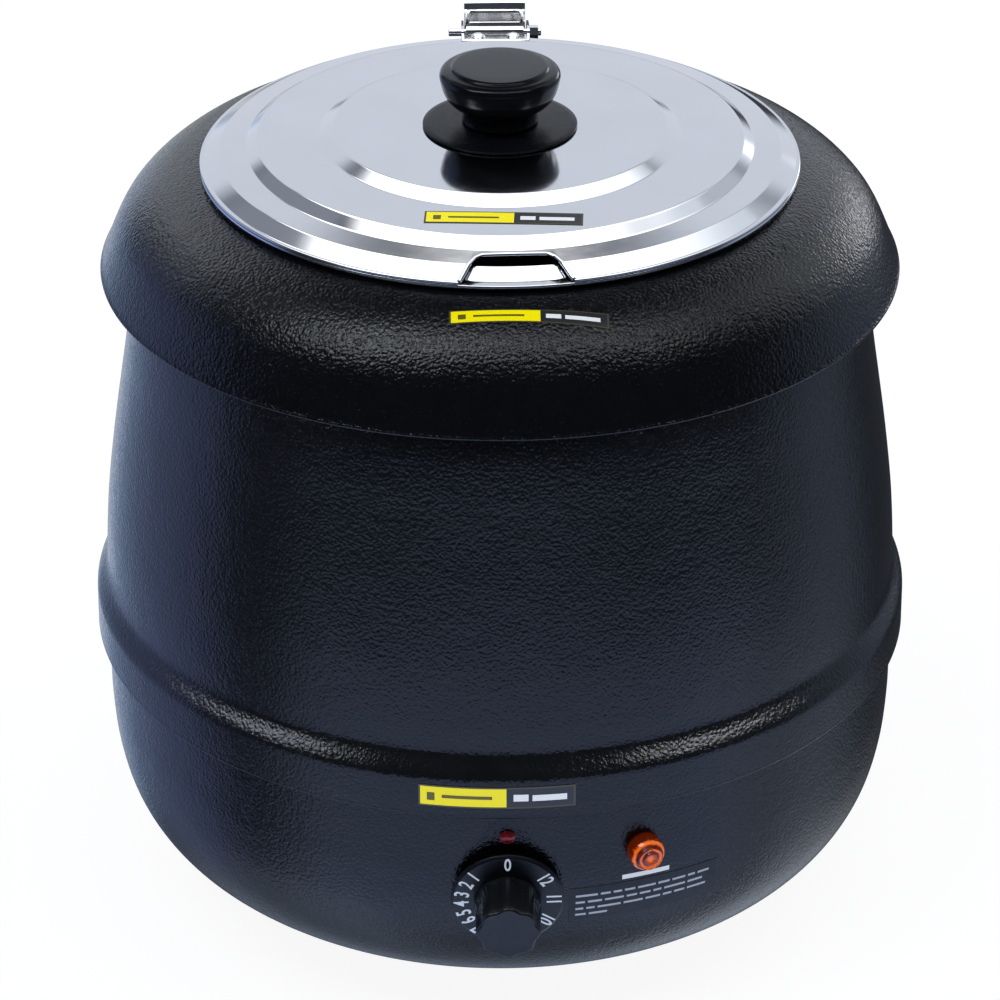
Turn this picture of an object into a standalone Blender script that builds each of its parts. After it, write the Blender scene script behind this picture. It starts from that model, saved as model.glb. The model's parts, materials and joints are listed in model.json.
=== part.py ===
"""Electric wet-well soup kettle: hammered black shell in three pressed rings, lift-out
stainless inset with a hinged, notched lid, and a rotary thermostat.

Frame: metres, +Z up, origin on the floor under the kettle's axis. -Y is the control side,
+Y is the hinge and cord side, +X is to the right when the controls are faced.
Lengths below are written in millimetres and multiplied by MM.
"""

import math

import bmesh
import bpy
from mathutils import Matrix, Vector

MM = 0.001
GAP = 0.3                 # air left between two pieces that rest on each other

# ---- driving dimensions (mm) -------------------------------------------------------------
SEG = 36                  # facets around the big pressings
SMALL = 12                # facets around small turned pieces
RIM_Z = 320.0             # plane of the lid's rim
SHEET = 1.6               # painted shell thickness
STEEL = 1.0               # stainless sheet thickness

# Outer faces, top to bottom, as (radius, height).
COLLAR = [(119.2, 317.6), (120.0, 316.4), (124.5, 315.7), (129.0, 314.5), (133.5, 312.8), (138.0, 310.4),
          (143.0, 306.9), (147.5, 303.1), (152.4, 298.0), (157.0, 289.6), (162.8, 275.6)]
COLLAR_MOUTH_R = 117.6    # bore of the collar's inner lip
COLLAR_LIP_Z = 304.0
BODY = [(139.5, 296.0), (146.5, 274.0), (156.2, 224.0), (161.0, 199.0), (164.6, 173.0),
        (166.2, 150.0), (166.6, 138.5), (171.3, 129.5), (171.6, 113.0)]
BODY_FLANGE_R = 130.0
BOWL = [(167.0, 127.0), (167.4, 80.0), (165.9, 62.0), (162.2, 46.0), (156.3, 34.0),
        (148.7, 25.0), (137.5, 17.0), (121.0, 10.6), (106.0, 8.3), (88.0, 8.3)]
BASE_PLATE_R = 100.0
BASE_PLATE_Z = (6.8, 8.0)

PAN_R = 121.0             # inside radius of the water well
PAN_FLOOR_Z = 74.0
POT_R = 108.5             # inside radius of the inset
POT_FLOOR_Z = 83.0
POT_LIFT = 0.25           # travel, m, that takes the inset clear of the shell
LID_R = 121.0
LID = [(2.7, 333.0), (67.0, 333.0), (73.0, 330.0), (97.6, 329.4), (102.6, 325.9),
       (112.8, 324.5), (119.6, 320.6), (121.0, 320.3)]
LID_SHEET = 0.9
NOTCH_TURN = 2.0          # ladle notch sits this many degrees off the hinge line
KNOB_Z = 333.3            # seat of the lid knob's disc

PIN_Y, PIN_Z = 127.2, 321.0
PIN_R, BARREL_R, BARREL_BORE = 1.6, 2.8, 2.05
LID_OPEN = 100.0          # degrees

DIAL = (0.0, -167.1, 75.0)
DIAL_TILT = 6.0           # the dial faces this much below the horizontal
DIAL_R = 22.5
GRIP_R, GRIP_H = 13.2, 19.5
FLUTES = 8
LAMP_TURN, LAMP_Z, LAMP_R = 19.0, 90.2, 6.8
CORD_Z, CORD_R = 60.0, 3.2
CORD_DROP_Y = 189.41
FEET_R, FOOT_H = 76.0, 6.5

# ---- scene and materials -----------------------------------------------------------------
for old in list(bpy.data.objects):
    bpy.data.objects.remove(old, do_unlink=True)


def material(name, color, rough, metal):
    mat = bpy.data.materials.new(name)
    mat.use_nodes = True
    bsdf = mat.node_tree.nodes["Principled BSDF"]
    bsdf.inputs["Base Color"].default_value = (*color, 1.0)
    bsdf.inputs["Roughness"].default_value = rough
    bsdf.inputs["Metallic"].default_value = metal
    return mat


PAINT = material("hammered_black", (0.018, 0.019, 0.022), 0.28, 0.0)
INOX = material("polished_stainless", (0.72, 0.73, 0.75), 0.14, 1.0)
SATIN = material("satin_stainless", (0.60, 0.60, 0.62), 0.32, 1.0)
ZINC = material("zinc_steel", (0.55, 0.56, 0.58), 0.38, 1.0)
CHROME = material("chrome", (0.82, 0.83, 0.85), 0.07, 1.0)
PHENOLIC = material("black_phenolic", (0.02, 0.02, 0.023), 0.22, 0.0)
DIAL_BLACK = material("dial_black", (0.03, 0.03, 0.033), 0.35, 0.0)
RUBBER = material("black_rubber", (0.03, 0.03, 0.03), 0.8, 0.0)
RED = material("red_dot", (0.75, 0.02, 0.03), 0.3, 0.0)
AMBER = material("amber_lens", (0.95, 0.36, 0.02), 0.15, 0.0)
NYLON = material("white_nylon", (0.85, 0.85, 0.82), 0.5, 0.0)
MICA = material("mica", (0.55, 0.47, 0.33), 0.6, 0.0)
COPPER = material("copper", (0.75, 0.40, 0.25), 0.3, 1.0)
YELLOW = material("label_yellow", (0.95, 0.80, 0.02), 0.4, 0.0)


# ---- modelling helpers -------------------------------------------------------------------
def add(name, bm, mat, loc=(0, 0, 0), rot=(0, 0, 0), smooth=True):
    """Turn a bmesh in millimetres into a named object with its own location and rotation."""
    bmesh.ops.scale(bm, vec=(MM, MM, MM), verts=bm.verts)
    bmesh.ops.recalc_face_normals(bm, faces=bm.faces)
    mesh = bpy.data.meshes.new(name)
    bm.to_mesh(mesh)
    bm.free()
    if smooth:
        mesh.shade_smooth()
        mesh.set_sharp_from_angle(angle=math.radians(32))
    ob = bpy.data.objects.new(name, mesh)
    ob.location = [v * MM for v in loc]
    ob.rotation_euler = [math.radians(a) for a in rot]
    bpy.context.scene.collection.objects.link(ob)
    if mat:
        ob.data.materials.append(mat)
    return ob


def inward(path, t):
    """Offset a turned profile (outer face, top to bottom) by t towards its inner side."""
    out = []
    for i, (r, z) in enumerate(path):
        normals = []
        for a, b in ((i - 1, i), (i, i + 1)):
            if 0 <= a and b < len(path):
                dr, dz = path[b][0] - path[a][0], path[b][1] - path[a][1]
                length = math.hypot(dr, dz)
                normals.append((dz / length, -dr / length))
        nr = sum(n[0] for n in normals) / len(normals)
        nz = sum(n[1] for n in normals) / len(normals)
        k = t / max(nr * nr + nz * nz, 0.3)
        out.append((r + nr * k, z + nz * k))
    return out


def spun(profile, closed=True, seg=SEG):
    """Spin a profile of (radius, height) points once around Z."""
    bm = bmesh.new()
    verts = [bm.verts.new((max(r, 0.0), 0, z)) for r, z in profile]
    edges = [bm.edges.new((a, b)) for a, b in zip(verts, verts[1:])]
    if closed:
        edges.append(bm.edges.new((verts[-1], verts[0])))
    bmesh.ops.spin(bm, geom=verts + edges, cent=(0, 0, 0), axis=(0, 0, 1), dvec=(0, 0, 0),
                   angle=2 * math.pi, steps=seg, use_merge=True, use_duplicate=False)
    bmesh.ops.remove_doubles(bm, verts=bm.verts, dist=1e-4)
    bmesh.ops.dissolve_degenerate(bm, edges=bm.edges, dist=1e-5)
    return bm


def shell(path, t):
    return path + inward(path, t)[::-1]


def prism(points, width, axis="X"):
    """Extrude a closed outline symmetrically along an axis. points are (y, z) for X,
    (x, z) for Y and (x, y) for Z."""
    bm = bmesh.new()
    h = width / 2
    place = {"X": lambda a, b: (-h, a, b), "Y": lambda a, b: (a, -h, b),
             "Z": lambda a, b: (a, b, -h)}[axis]
    move = {"X": (width, 0, 0), "Y": (0, width, 0), "Z": (0, 0, width)}[axis]
    face = bm.faces.new([bm.verts.new(place(a, b)) for a, b in points])
    out = bmesh.ops.extrude_face_region(bm, geom=[face])
    bmesh.ops.translate(bm, vec=move, verts=[v for v in out["geom"] if isinstance(v, bmesh.types.BMVert)])
    return bm


def block(size, centre, bevel=0.0):
    bm = bmesh.new()
    bmesh.ops.create_cube(bm, size=1.0)
    bmesh.ops.scale(bm, vec=size, verts=bm.verts)
    bmesh.ops.translate(bm, vec=centre, verts=bm.verts)
    if bevel:
        bmesh.ops.bevel(bm, geom=bm.edges[:], offset=bevel, segments=1, affect="EDGES")
    return bm


def disc_ring(r_out, r_in, z0, z1, seg=SMALL):
    if r_in > 0:
        return spun([(r_out, z1), (r_out, z0), (r_in, z0), (r_in, z1)], True, seg)
    return spun([(0, z1), (r_out, z1), (r_out, z0), (0, z0)], False, seg)


def hexagon(r_out, r_in, z0, z1):
    """A hex nut: six flats outside, a round bore inside."""
    bm = bmesh.new()
    n = 12
    rings = []
    for z in (z0, z1):
        outer = [bm.verts.new((r_out * math.cos(2 * math.pi * i / n) * (1 if i % 2 == 0 else math.cos(math.pi / 6)),
                               r_out * math.sin(2 * math.pi * i / n) * (1 if i % 2 == 0 else math.cos(math.pi / 6)), z))
                 for i in range(n)]
        inner = [bm.verts.new((r_in * math.cos(2 * math.pi * i / n), r_in * math.sin(2 * math.pi * i / n), z))
                 for i in range(n)]
        rings.append((outer, inner))
    (ob, ib), (ot, it) = rings
    for i in range(n):
        j = (i + 1) % n
        bm.faces.new((ob[i], ob[j], ot[j], ot[i]))
        bm.faces.new((ib[j], ib[i], it[i], it[j]))
        bm.faces.new((ot[i], ot[j], it[j], it[i]))
        bm.faces.new((ob[j], ob[i], ib[i], ib[j]))
    return bm


def cutter(name, bm, loc=(0, 0, 0), rot=(0, 0, 0), twist=7.0):
    """A boolean tool. twist keeps a round tool's corners off the edges of what it cuts."""
    bmesh.ops.rotate(bm, cent=(0, 0, 0), matrix=Matrix.Rotation(math.radians(twist), 3, "Z"), verts=bm.verts)
    ob = add(name, bm, None, loc, rot, smooth=False)
    ob.hide_render = True
    ob.display_type = "WIRE"
    return ob


def boolean(ob, tool, kind="DIFFERENCE"):
    mod = ob.modifiers.new(tool.name, "BOOLEAN")
    mod.operation = kind
    mod.solver = "EXACT"
    mod.object = tool
    return ob


def facing(point, turn, tilt):
    """Location and rotation that stand a piece on the bowl, its local +Z pointing out.
    turn is the angle from -Y towards +X, tilt is how far it points below the horizontal."""
    return point, (90 + tilt, 0, turn)


def local(rot, v):
    """A vector given in a piece's own frame, in world directions."""
    m = Matrix.Rotation(math.radians(rot[2]), 3, "Z") @ Matrix.Rotation(math.radians(rot[0]), 3, "X")
    return m @ Vector(v)


def at(origin, rot, v):
    w = local(rot, v)
    return (origin[0] + w[0], origin[1] + w[1], origin[2] + w[2])


# ---- painted shell -----------------------------------------------------------------------
lip = [(COLLAR_MOUTH_R, 317.6)] + COLLAR
under = inward(COLLAR, SHEET)
collar = lip + under[:1:-1] + [(119.2, 314.6), (119.2, COLLAR_LIP_Z), (COLLAR_MOUTH_R, COLLAR_LIP_Z)]
add("collar_ring", spun(collar), PAINT)

body_under = inward(BODY, SHEET)
body = [(BODY_FLANGE_R, 296.0)] + BODY + body_under[:0:-1] + [(138.4, 296.0 - SHEET), (BODY_FLANGE_R, 296.0 - SHEET)]
add("body_shell", spun(body), PAINT)

bowl = add("base_bowl", spun(shell(BOWL, SHEET)), PAINT)

# ---- underside ---------------------------------------------------------------------------
plate = add("base_plate", disc_ring(BASE_PLATE_R, 0, *BASE_PLATE_Z, seg=SEG), ZINC)
for i in range(4):
    a = math.radians(45 + 90 * i)
    x, y = FEET_R * math.cos(a), FEET_R * math.sin(a)
    foot = [(11.0, FOOT_H), (9.4, 0.0), (5.2, 0.0), (5.2, 3.4), (2.4, 3.4), (2.4, FOOT_H)]
    add(f"foot_{i + 1}", spun(foot, True, SMALL), RUBBER, (x, y, 0))
    screw = [(0, 1.2), (4.2, 1.8), (4.2, 3.1), (2.0, 3.1), (2.0, 15.0), (0, 15.0)]
    add(f"foot_screw_{i + 1}", spun(screw, False, 8), ZINC, (x, y, 0))
    boolean(plate, cutter(f"cut_foot_{i + 1}", disc_ring(2.4, 0, 4, 12, 8), (x, y, 0)))
    b = math.radians(90 * i + 5)
    x, y = 94.0 * math.cos(b), 94.0 * math.sin(b)
    screw = [(0, 4.8), (3.2, 5.4), (3.2, 6.5), (1.7, 6.5), (1.7, 15.0), (0, 17.0)]
    add(f"base_screw_{i + 1}", spun(screw, False, 8), ZINC, (x, y, 0))
    tool = cutter(f"cut_base_{i + 1}", disc_ring(2.1, 0, 4, 12, 8), (x, y, 0))
    boolean(plate, tool)
    boolean(bowl, tool)

# ---- water well and its heater -----------------------------------------------------------
pan = [(0, 74.0), (108.0, 74.0), (118.0, 78.0), (PAN_R, 86.0), (PAN_R, 297.7), (137.0, 297.7)]
pan_out = [(137.0, 296.7 - 0.0), (PAN_R + STEEL, 296.7), (PAN_R + STEEL, 85.8), (118.7, 77.1), (108.2, 73.0), (0, 73.0)]
PAN_LIFT = 0.0 + 0.6      # the well's flange lies on the shell's flange
pan = [(r, z + (PAN_LIFT if z > 200 else 0)) for r, z in pan]
pan_out = [(r, z + (PAN_LIFT if z > 200 else 0)) for r, z in pan_out]
pan_ob = add("water_well", spun(pan + [(137.0, 296.7 + PAN_LIFT)] + pan_out[1:], False), SATIN)

for i in range(4):
    clip = [(136.0, 298.7), (136.0, 299.7), (127.0, 299.7), (127.0, 310.6), (134.0, 306.9),
            (134.2, 307.9), (126.0, 312.1), (126.0, 298.7)]
    add(f"collar_clip_{i + 1}", prism(clip, 14.0, "X"), ZINC, rot=(0, 0, 45 + 90 * i), smooth=False)

add("heating_element", disc_ring(96, 16, 67.5, 72.7, seg=24), MICA)
add("element_clamp_plate", disc_ring(99, 4.0, 65.2, 67.2, seg=24), ZINC)
add("well_stud", disc_ring(3.0, 0, 55.0, 72.7, 12), ZINC)
add("clamp_nut", hexagon(6.6, 3.3, 59.4, 64.9), ZINC)
add("thermal_cutout", spun([(0, 64.9), (8.0, 64.9), (8.0, 57.0), (6.6, 55.6), (0, 55.6)], False, SMALL), PHENOLIC, (42, 24, 0))

# ---- thermostat and its knob -------------------------------------------------------------
dial_at, dial_rot = facing(DIAL, 0.0, DIAL_TILT)
boolean(bowl, cutter("cut_shaft", disc_ring(5.6, 0, -8, 8), dial_at, dial_rot))
thermostat = add("thermostat_body", block((34, 30, 27), (0, 0, -5.2 - 13.5), 1.5), PHENOLIC, dial_at, dial_rot, smooth=False)
boolean(thermostat, cutter("cut_shaft_seat", disc_ring(3.5, 0, -12, 4), dial_at, dial_rot))
for i, s in enumerate((-1, 1)):
    where = at(DIAL, dial_rot, (11.5 * s, 0, 0))
    screw = [(0, 2.3), (3.0, 1.6), (3.0, 0.9), (1.5, 0.9), (1.5, -4.9), (0, -4.9)]
    add(f"thermostat_screw_{i + 1}", spun(screw, False, 8), ZINC, where, dial_rot)
    boolean(bowl, cutter(f"cut_thermostat_{i + 1}", disc_ring(1.9, 0, -6, 6, 8), where, dial_rot))

# The dial, grip and shaft turn about the local Z axis through DIAL.
dial = [(10.2, 4.6), (19.0, 4.6), (DIAL_R, 3.6), (DIAL_R, 2.7), (10.2, 2.7)]
add("dial_skirt", spun(dial, True, 32), DIAL_BLACK, dial_at, dial_rot)
grip = bmesh.new()
rows = [(4.9, 1.0), (7.5, 0.995), (20.5, 0.965), (23.2, 0.955), (4.9 + GRIP_H, 0.90)]
rings = []
for z, k in rows:
    ring = []
    for i in range(FLUTES * 4):
        a = 2 * math.pi * i / (FLUTES * 4)
        depth = (1.0 if z > 6 else 0.5) * (0.5 - 0.5 * math.cos(FLUTES * a))
        r = GRIP_R * k - depth
        ring.append(grip.verts.new((r * math.sin(a), r * math.cos(a), z)))
    rings.append(ring)
for lo, hi in zip(rings, rings[1:]):
    for i in range(len(lo)):
        j = (i + 1) % len(lo)
        grip.faces.new((lo[i], lo[j], hi[j], hi[i]))
grip.faces.new(rings[0][::-1])
grip.faces.new(rings[-1])
grip_ob = add("control_knob", grip, PHENOLIC, dial_at, dial_rot)
boolean(grip_ob, cutter("cut_knob_bore", disc_ring(3.4, 0, 0, 17), dial_at, dial_rot))
add("thermostat_shaft", spun([(0, 16.5), (2.7, 16.5), (3.0, 16.0), (3.0, -11.0), (0, -11.0)], False, SMALL), ZINC, dial_at, dial_rot)

# Capillary tube from the thermostat to a bulb clipped against the well.
def tube(name, points, radius, mat, sides=8):
    curve = bpy.data.curves.new(name, "CURVE")
    curve.dimensions = "3D"
    curve.bevel_depth = radius * MM
    curve.bevel_resolution = max(0, sides // 2 - 2)
    curve.use_fill_caps = True
    spline = curve.splines.new("POLY")
    spline.points.add(len(points) - 1)
    for p, (x, y, z) in zip(spline.points, points):
        p.co = (x * MM, y * MM, z * MM, 1.0)
    curve.materials.append(mat)
    ob = bpy.data.objects.new(name, curve)
    bpy.context.scene.collection.objects.link(ob)
    return ob


def arc(centre, u, v, radius, a0, a1, n):
    """Points on an arc: centre + radius (cos a u + sin a v)."""
    out = []
    for i in range(n + 1):
        a = math.radians(a0 + (a1 - a0) * i / n)
        out.append(tuple(centre[k] + radius * (math.cos(a) * u[k] + math.sin(a) * v[k]) for k in range(3)))
    return out


back = at(DIAL, dial_rot, (9.0, 0, -33.2))
capillary = [back, (back[0] + 1, back[1] + 4.5, back[2])] + arc((0, 0, 96.0), (0, -1, 0), (1, 0, 0), 127.4, 10, 34, 5)
capillary[2] = (capillary[2][0], capillary[2][1], 84.0)
tube("capillary_tube", capillary, 0.9, COPPER, 6)
bulb = spun([(0, 40), (3.0, 38), (3.0, 2), (0, 0)], False, 8)
end = capillary[-1]
add("thermostat_bulb", bulb, COPPER, (127.4 * math.sin(math.radians(36.6)), -127.4 * math.cos(math.radians(36.6)), 90.0))

# ---- index dot and pilot lamp ------------------------------------------------------------
add("index_dot", spun([(0, 1.9), (1.6, 1.6), (2.8, 0.9), (3.3, 0.3), (0, 0.3)], False, SMALL), RED,
    (0, -167.5, 102.0), (90, 0, 0))
turn = math.radians(LAMP_TURN)
lamp_at, lamp_rot = facing((167.3 * math.sin(turn), -167.3 * math.cos(turn), LAMP_Z), LAMP_TURN, 2.0)
boolean(bowl, cutter("cut_lamp", disc_ring(6.1, 0, -8, 8), lamp_at, lamp_rot))
lens = [(0, 9.6), (3.2, 9.2), (5.7, 7.4), (LAMP_R, 4.6), (LAMP_R, 0.9), (5.9, 0.9), (5.8, 4.4),
        (4.8, 6.6), (2.7, 8.0), (0, 8.4)]
add("pilot_lamp_lens", spun(lens, False, 20), AMBER, lamp_at, lamp_rot)
add("pilot_lamp_body", spun([(0, 5.6), (3.2, 5.6), (3.4, 5.0), (3.4, 1.2), (5.4, 1.2), (5.4, -16), (4.2, -18), (0, -18)], False, SMALL),
    NYLON, lamp_at, lamp_rot)
add("pilot_lamp_nut", hexagon(8.8, 5.9, -7.5, -3.0), ZINC, lamp_at, lamp_rot)

# ---- cord --------------------------------------------------------------------------------
bowl_r = 165.6
boolean(bowl, cutter("cut_cord", disc_ring(7.6, 0, -10, 10), (0, bowl_r, CORD_Z), (-90, 0, 0)))
gland = [(10.6, 1.4), (10.6, 3.8), (6.6, 4.6), (5.4, 9.4), (3.7, 9.4), (3.7, -6.0), (7.0, -6.0), (7.2, 1.4)]
add("cord_gland", spun(gland, True, SMALL), PHENOLIC, (0, bowl_r, CORD_Z), (-90, 0, 0))
drop = CORD_DROP_Y
path = [(0, 79.0, 15.0), (0, 88.0, 16.5)]
path += [(0, 104.0, 24.0), (0, 118.0, 36.0), (0, 130.0, 48.0), (0, 140.0, 56.5), (0, 150.0, CORD_Z)]
path += [(0, drop - 12.0, CORD_Z)]
path += arc((0, drop - 12.0, CORD_Z - 12.0), (0, 0, 1), (0, 1, 0), 12.0, 30, 90, 2)
path += [(0, drop, 18.0)]
path += arc((12.0, drop, 16.2), (-1, 0, 0), (0, 0, -1), 12.0, 28, 80, 2)
sweep = drop - 0.4
path += [(sweep * math.sin(math.radians(a)), sweep * math.cos(math.radians(a)), 3.9) for a in (5, 12, 20, 29, 38)]
tube("power_cord", path, CORD_R, RUBBER, 8)
add("terminal_block", block((38, 16, 13), (0, 70.5, 8.3 + 6.5 + 0.1), 1.0), NYLON, smooth=False)

# ---- inset -------------------------------------------------------------------------------
pot_in = [(0, POT_FLOOR_Z), (92.0, POT_FLOOR_Z), (103.6, 88.6), (POT_R, 100.0), (POT_R, 321.2),
          (110.2, 322.6), (116.6, 319.2), (121.0, 319.2)]
pot_out = [(121.0, 317.9), (116.2, 317.9), (110.4, 321.0), (109.5, 320.2), (109.5, 99.8), (104.2, 87.8),
           (92.2, POT_FLOOR_Z - STEEL), (0, POT_FLOOR_Z - STEEL)]
pot = add("soup_pot", spun(pot_in + pot_out, False), INOX)

# Fixed leaf of the hinge: a strip tacked under the inset's flange, with an upright.
leaf = [(119.9, 317.55), (123.0, 317.55), (127.6, 316.0), (133.6, 313.4), (135.3, 314.2), (135.7, 316.0),
        (135.7, 328.4), (136.4, 330.4), (138.0, 331.2), (139.6, 330.6), (140.4, 329.0), (140.4, 326.6),
        (141.4, 326.6), (141.4, 329.4), (140.3, 331.5), (138.0, 332.4), (135.7, 331.3), (134.7, 328.8),
        (134.7, 316.4), (134.4, 315.2), (133.4, 314.5), (127.9, 317.0), (123.2, 318.5), (119.9, 318.5)]
leaf = [(y, z if y > 124.5 else (z if z < 318 else 317.6)) for y, z in leaf]
leaf[0] = (119.9, 316.75)
leaf[1] = (123.0, 316.75)
leaf[2] = (127.4, 315.5)
leaf[3] = (133.6, 313.3)
leaf[-1] = (119.9, 317.6)
leaf[-2] = (123.2, 317.6)
leaf[-3] = (127.8, 316.4)
leaf[-4] = (133.4, 314.4)
add("hinge_leaf", prism(leaf, 26.4, "X"), CHROME, smooth=False)

# Rolled barrel that the pin turns in, with a tail against the upright.
barrel = add("hinge_barrel", disc_ring(BARREL_R, 0, -12.5, 12.5, SMALL), CHROME, (0, PIN_Y, PIN_Z), (0, 90, 0))
tail = [(128.4, 322.4), (133.9, 322.4), (134.4, 322.9), (134.4, 327.6), (133.4, 327.6), (133.4, 323.4), (128.4, 323.4)]
boolean(barrel, cutter("join_tail", prism(tail, 22.0, "X"), twist=0.0), "UNION")
boolean(barrel, cutter("cut_barrel", disc_ring(BARREL_BORE, 0, -20, 20, SMALL), (0, PIN_Y, PIN_Z), (0, 90, 0)))

# ---- lid ---------------------------------------------------------------------------------
lid = add("lid", spun(shell(LID, LID_SHEET)), INOX)
notch = [(-15.2, -107.0), (-13.0, -105.2), (13.0, -105.2), (15.2, -107.0), (25.2, -124.0), (-25.2, -124.0)]
bm = prism(notch, 30.0, "Z")
bmesh.ops.translate(bm, vec=(0, 0, 322.0), verts=bm.verts)
boolean(lid, cutter("cut_notch", bm, rot=(0, 0, NOTCH_TURN), twist=0.0))

add("knob_disc", spun([(2.7, 335.0), (20.0, 334.9), (30.7, 334.5), (31.1, KNOB_Z), (2.7, KNOB_Z)], True, 28), PHENOLIC)
cap = [(0, 350.0), (2.4, 349.0), (2.4, 335.3), (15.0, 335.3), (15.0, 340.4), (18.0, 342.2), (21.8, 346.0),
       (23.7, 351.2), (24.3, 355.0), (22.9, 357.5), (20.2, 358.8), (0, 358.8)]
add("lid_knob", spun(cap, False, 28), PHENOLIC)
add("knob_washer", disc_ring(8.0, 2.5, 330.7, 331.8, SMALL), ZINC)
add("knob_screw", spun([(0, 327.4), (4.4, 328.2), (4.4, 330.4), (2.0, 330.4), (2.0, 348.0), (0, 348.4)], False, 8), ZINC)

# Moving leaf: a channel riveted to the lid with an ear at each end of the barrel.
SLOPE = math.degrees(math.atan2(325.9 - 324.5, 112.6 - 102.6))
ear = [(104.0, 326.1), (112.4, 324.95), (119.8, 321.7), (122.2, 321.2), (123.2, 318.4), (125.2, 316.8), (127.2, 316.2),
       (129.4, 316.8), (131.2, 318.4), (132.0, 321.0), (131.3, 323.6), (129.4, 325.7), (126.6, 326.6), (120.0, 328.2),
       (112.0, 330.6), (105.4, 331.4), (104.0, 330.4)]
channel = add("lid_hinge_bracket", prism([(104.0, 326.1), (112.4, 324.95), (112.5, 325.95), (104.1, 327.1)], 29.0, "X"), CHROME, smooth=False)
for i, s in enumerate((-1, 1)):
    bm = prism(ear, 1.0, "X")
    boolean(channel, cutter(f"join_ear_{i + 1}", bm, (14.0 * s, 0, 0), twist=0.0), "UNION")
boolean(channel, cutter("cut_ears", disc_ring(1.9, 0, -30, 30, SMALL), (0, PIN_Y, PIN_Z), (0, 90, 0)))
surface_z = 325.9 - (108.2 - 102.6) * (325.9 - 324.5) / 10.0
for i, s in enumerate((-1, 1)):
    where = (7.5 * s, 108.2, surface_z)
    rivet = [(0, 3.2), (3.0, 2.4), (3.0, 1.8), (1.5, 1.8), (1.5, -1.3), (3.0, -1.3), (0, -2.4)]
    add(f"bracket_rivet_{i + 1}", spun(rivet, False, 8), CHROME, where, (-SLOPE, 0, 0))
    tool = cutter(f"cut_rivet_{i + 1}", disc_ring(1.9, 0, -6, 6, 8), where, (-SLOPE, 0, 0))
    boolean(lid, tool)
    boolean(channel, tool)

pin_line = [(0, 20.0), (1.3, 20.0), (PIN_R, 19.6), (PIN_R, -19.6), (1.3, -20.0), (0, -20.0)]
add("hinge_pin", spun(pin_line, False, SMALL), CHROME, (0, PIN_Y, PIN_Z), (0, 90, 0))
add("hinge_pin_nut", hexagon(3.1, 1.85, 14.9, 18.7), CHROME, (0, PIN_Y, PIN_Z), (0, 90, 0))


# ---- stickers ----------------------------------------------------------------------------
def sticker(name, path, t, lift, turn, sweep, steps):
    """A thin curved patch over part of a turned face. path is the face, top to bottom."""
    outer = inward(path, -(lift + t))
    inner = inward(path, -lift)
    bm = bmesh.new()
    face = bm.faces.new([bm.verts.new((r, 0, z)) for r, z in outer + inner[::-1]])
    start = math.radians(-90 + turn - sweep / 2)
    bmesh.ops.rotate(bm, cent=(0, 0, 0), matrix=Matrix.Rotation(start, 3, "Z"), verts=bm.verts)
    bmesh.ops.spin(bm, geom=[face] + face.edges[:] + face.verts[:], cent=(0, 0, 0), axis=(0, 0, 1), dvec=(0, 0, 0),
                   angle=math.radians(sweep), steps=steps, use_merge=False, use_duplicate=False)
    return add(name, bm, YELLOW)


def strip_label(name, path, t, lift, middle, size, turn, nx, ny):
    """A straight thin strip draped over a turned face, its middle at (x, y)."""
    def height(r):
        for (ra, za), (rb, zb) in zip(path, path[1:]):
            if ra <= r <= rb:
                return za + (zb - za) * (r - ra) / (rb - ra)
        return path[-1][1]
    c, s = math.cos(math.radians(turn)), math.sin(math.radians(turn))
    bm = bmesh.new()
    grid = {}
    for i in range(nx + 1):
        for j in range(ny + 1):
            u, v = size[0] * (i / nx - 0.5), size[1] * (j / ny - 0.5)
            x, y = middle[0] + u * c - v * s, middle[1] + u * s + v * c
            z = height(math.hypot(x, y)) + lift
            grid[0, i, j] = bm.verts.new((x, y, z))
            grid[1, i, j] = bm.verts.new((x, y, z + t))
    for i in range(nx):
        for j in range(ny):
            a, b, c_, d = (i, j), (i + 1, j), (i + 1, j + 1), (i, j + 1)
            bm.faces.new([grid[(1, *k)] for k in (a, b, c_, d)])
            bm.faces.new([grid[(0, *k)] for k in (d, c_, b, a)])
    rim = [(i, 0) for i in range(nx)] + [(nx, j) for j in range(ny)] + [(i, ny) for i in range(nx, 0, -1)] + [(0, j) for j in range(ny, 0, -1)]
    for k, a in enumerate(rim):
        b = rim[(k + 1) % len(rim)]
        bm.faces.new([grid[(0, *a)], grid[(0, *b)], grid[(1, *b)], grid[(1, *a)]])
    return add(name, bm, YELLOW)


strip_label("lid_label", LID, 0.3, 0.45, (0.0, -82.2), (61.0, 9.8), -3.0, 4, 1)
strip_label("collar_label", COLLAR, 0.3, 0.6, (8.6, -132.8), (60.0, 5.6), 0.0, 6, 1)
sticker("skirt_label", [(171.35, 128.0), (171.5, 117.8)], 0.3, 0.7, -1.4, 20.6, 3)
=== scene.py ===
import json
import math

import bmesh
import bpy
from mathutils import Matrix, Vector

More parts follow.
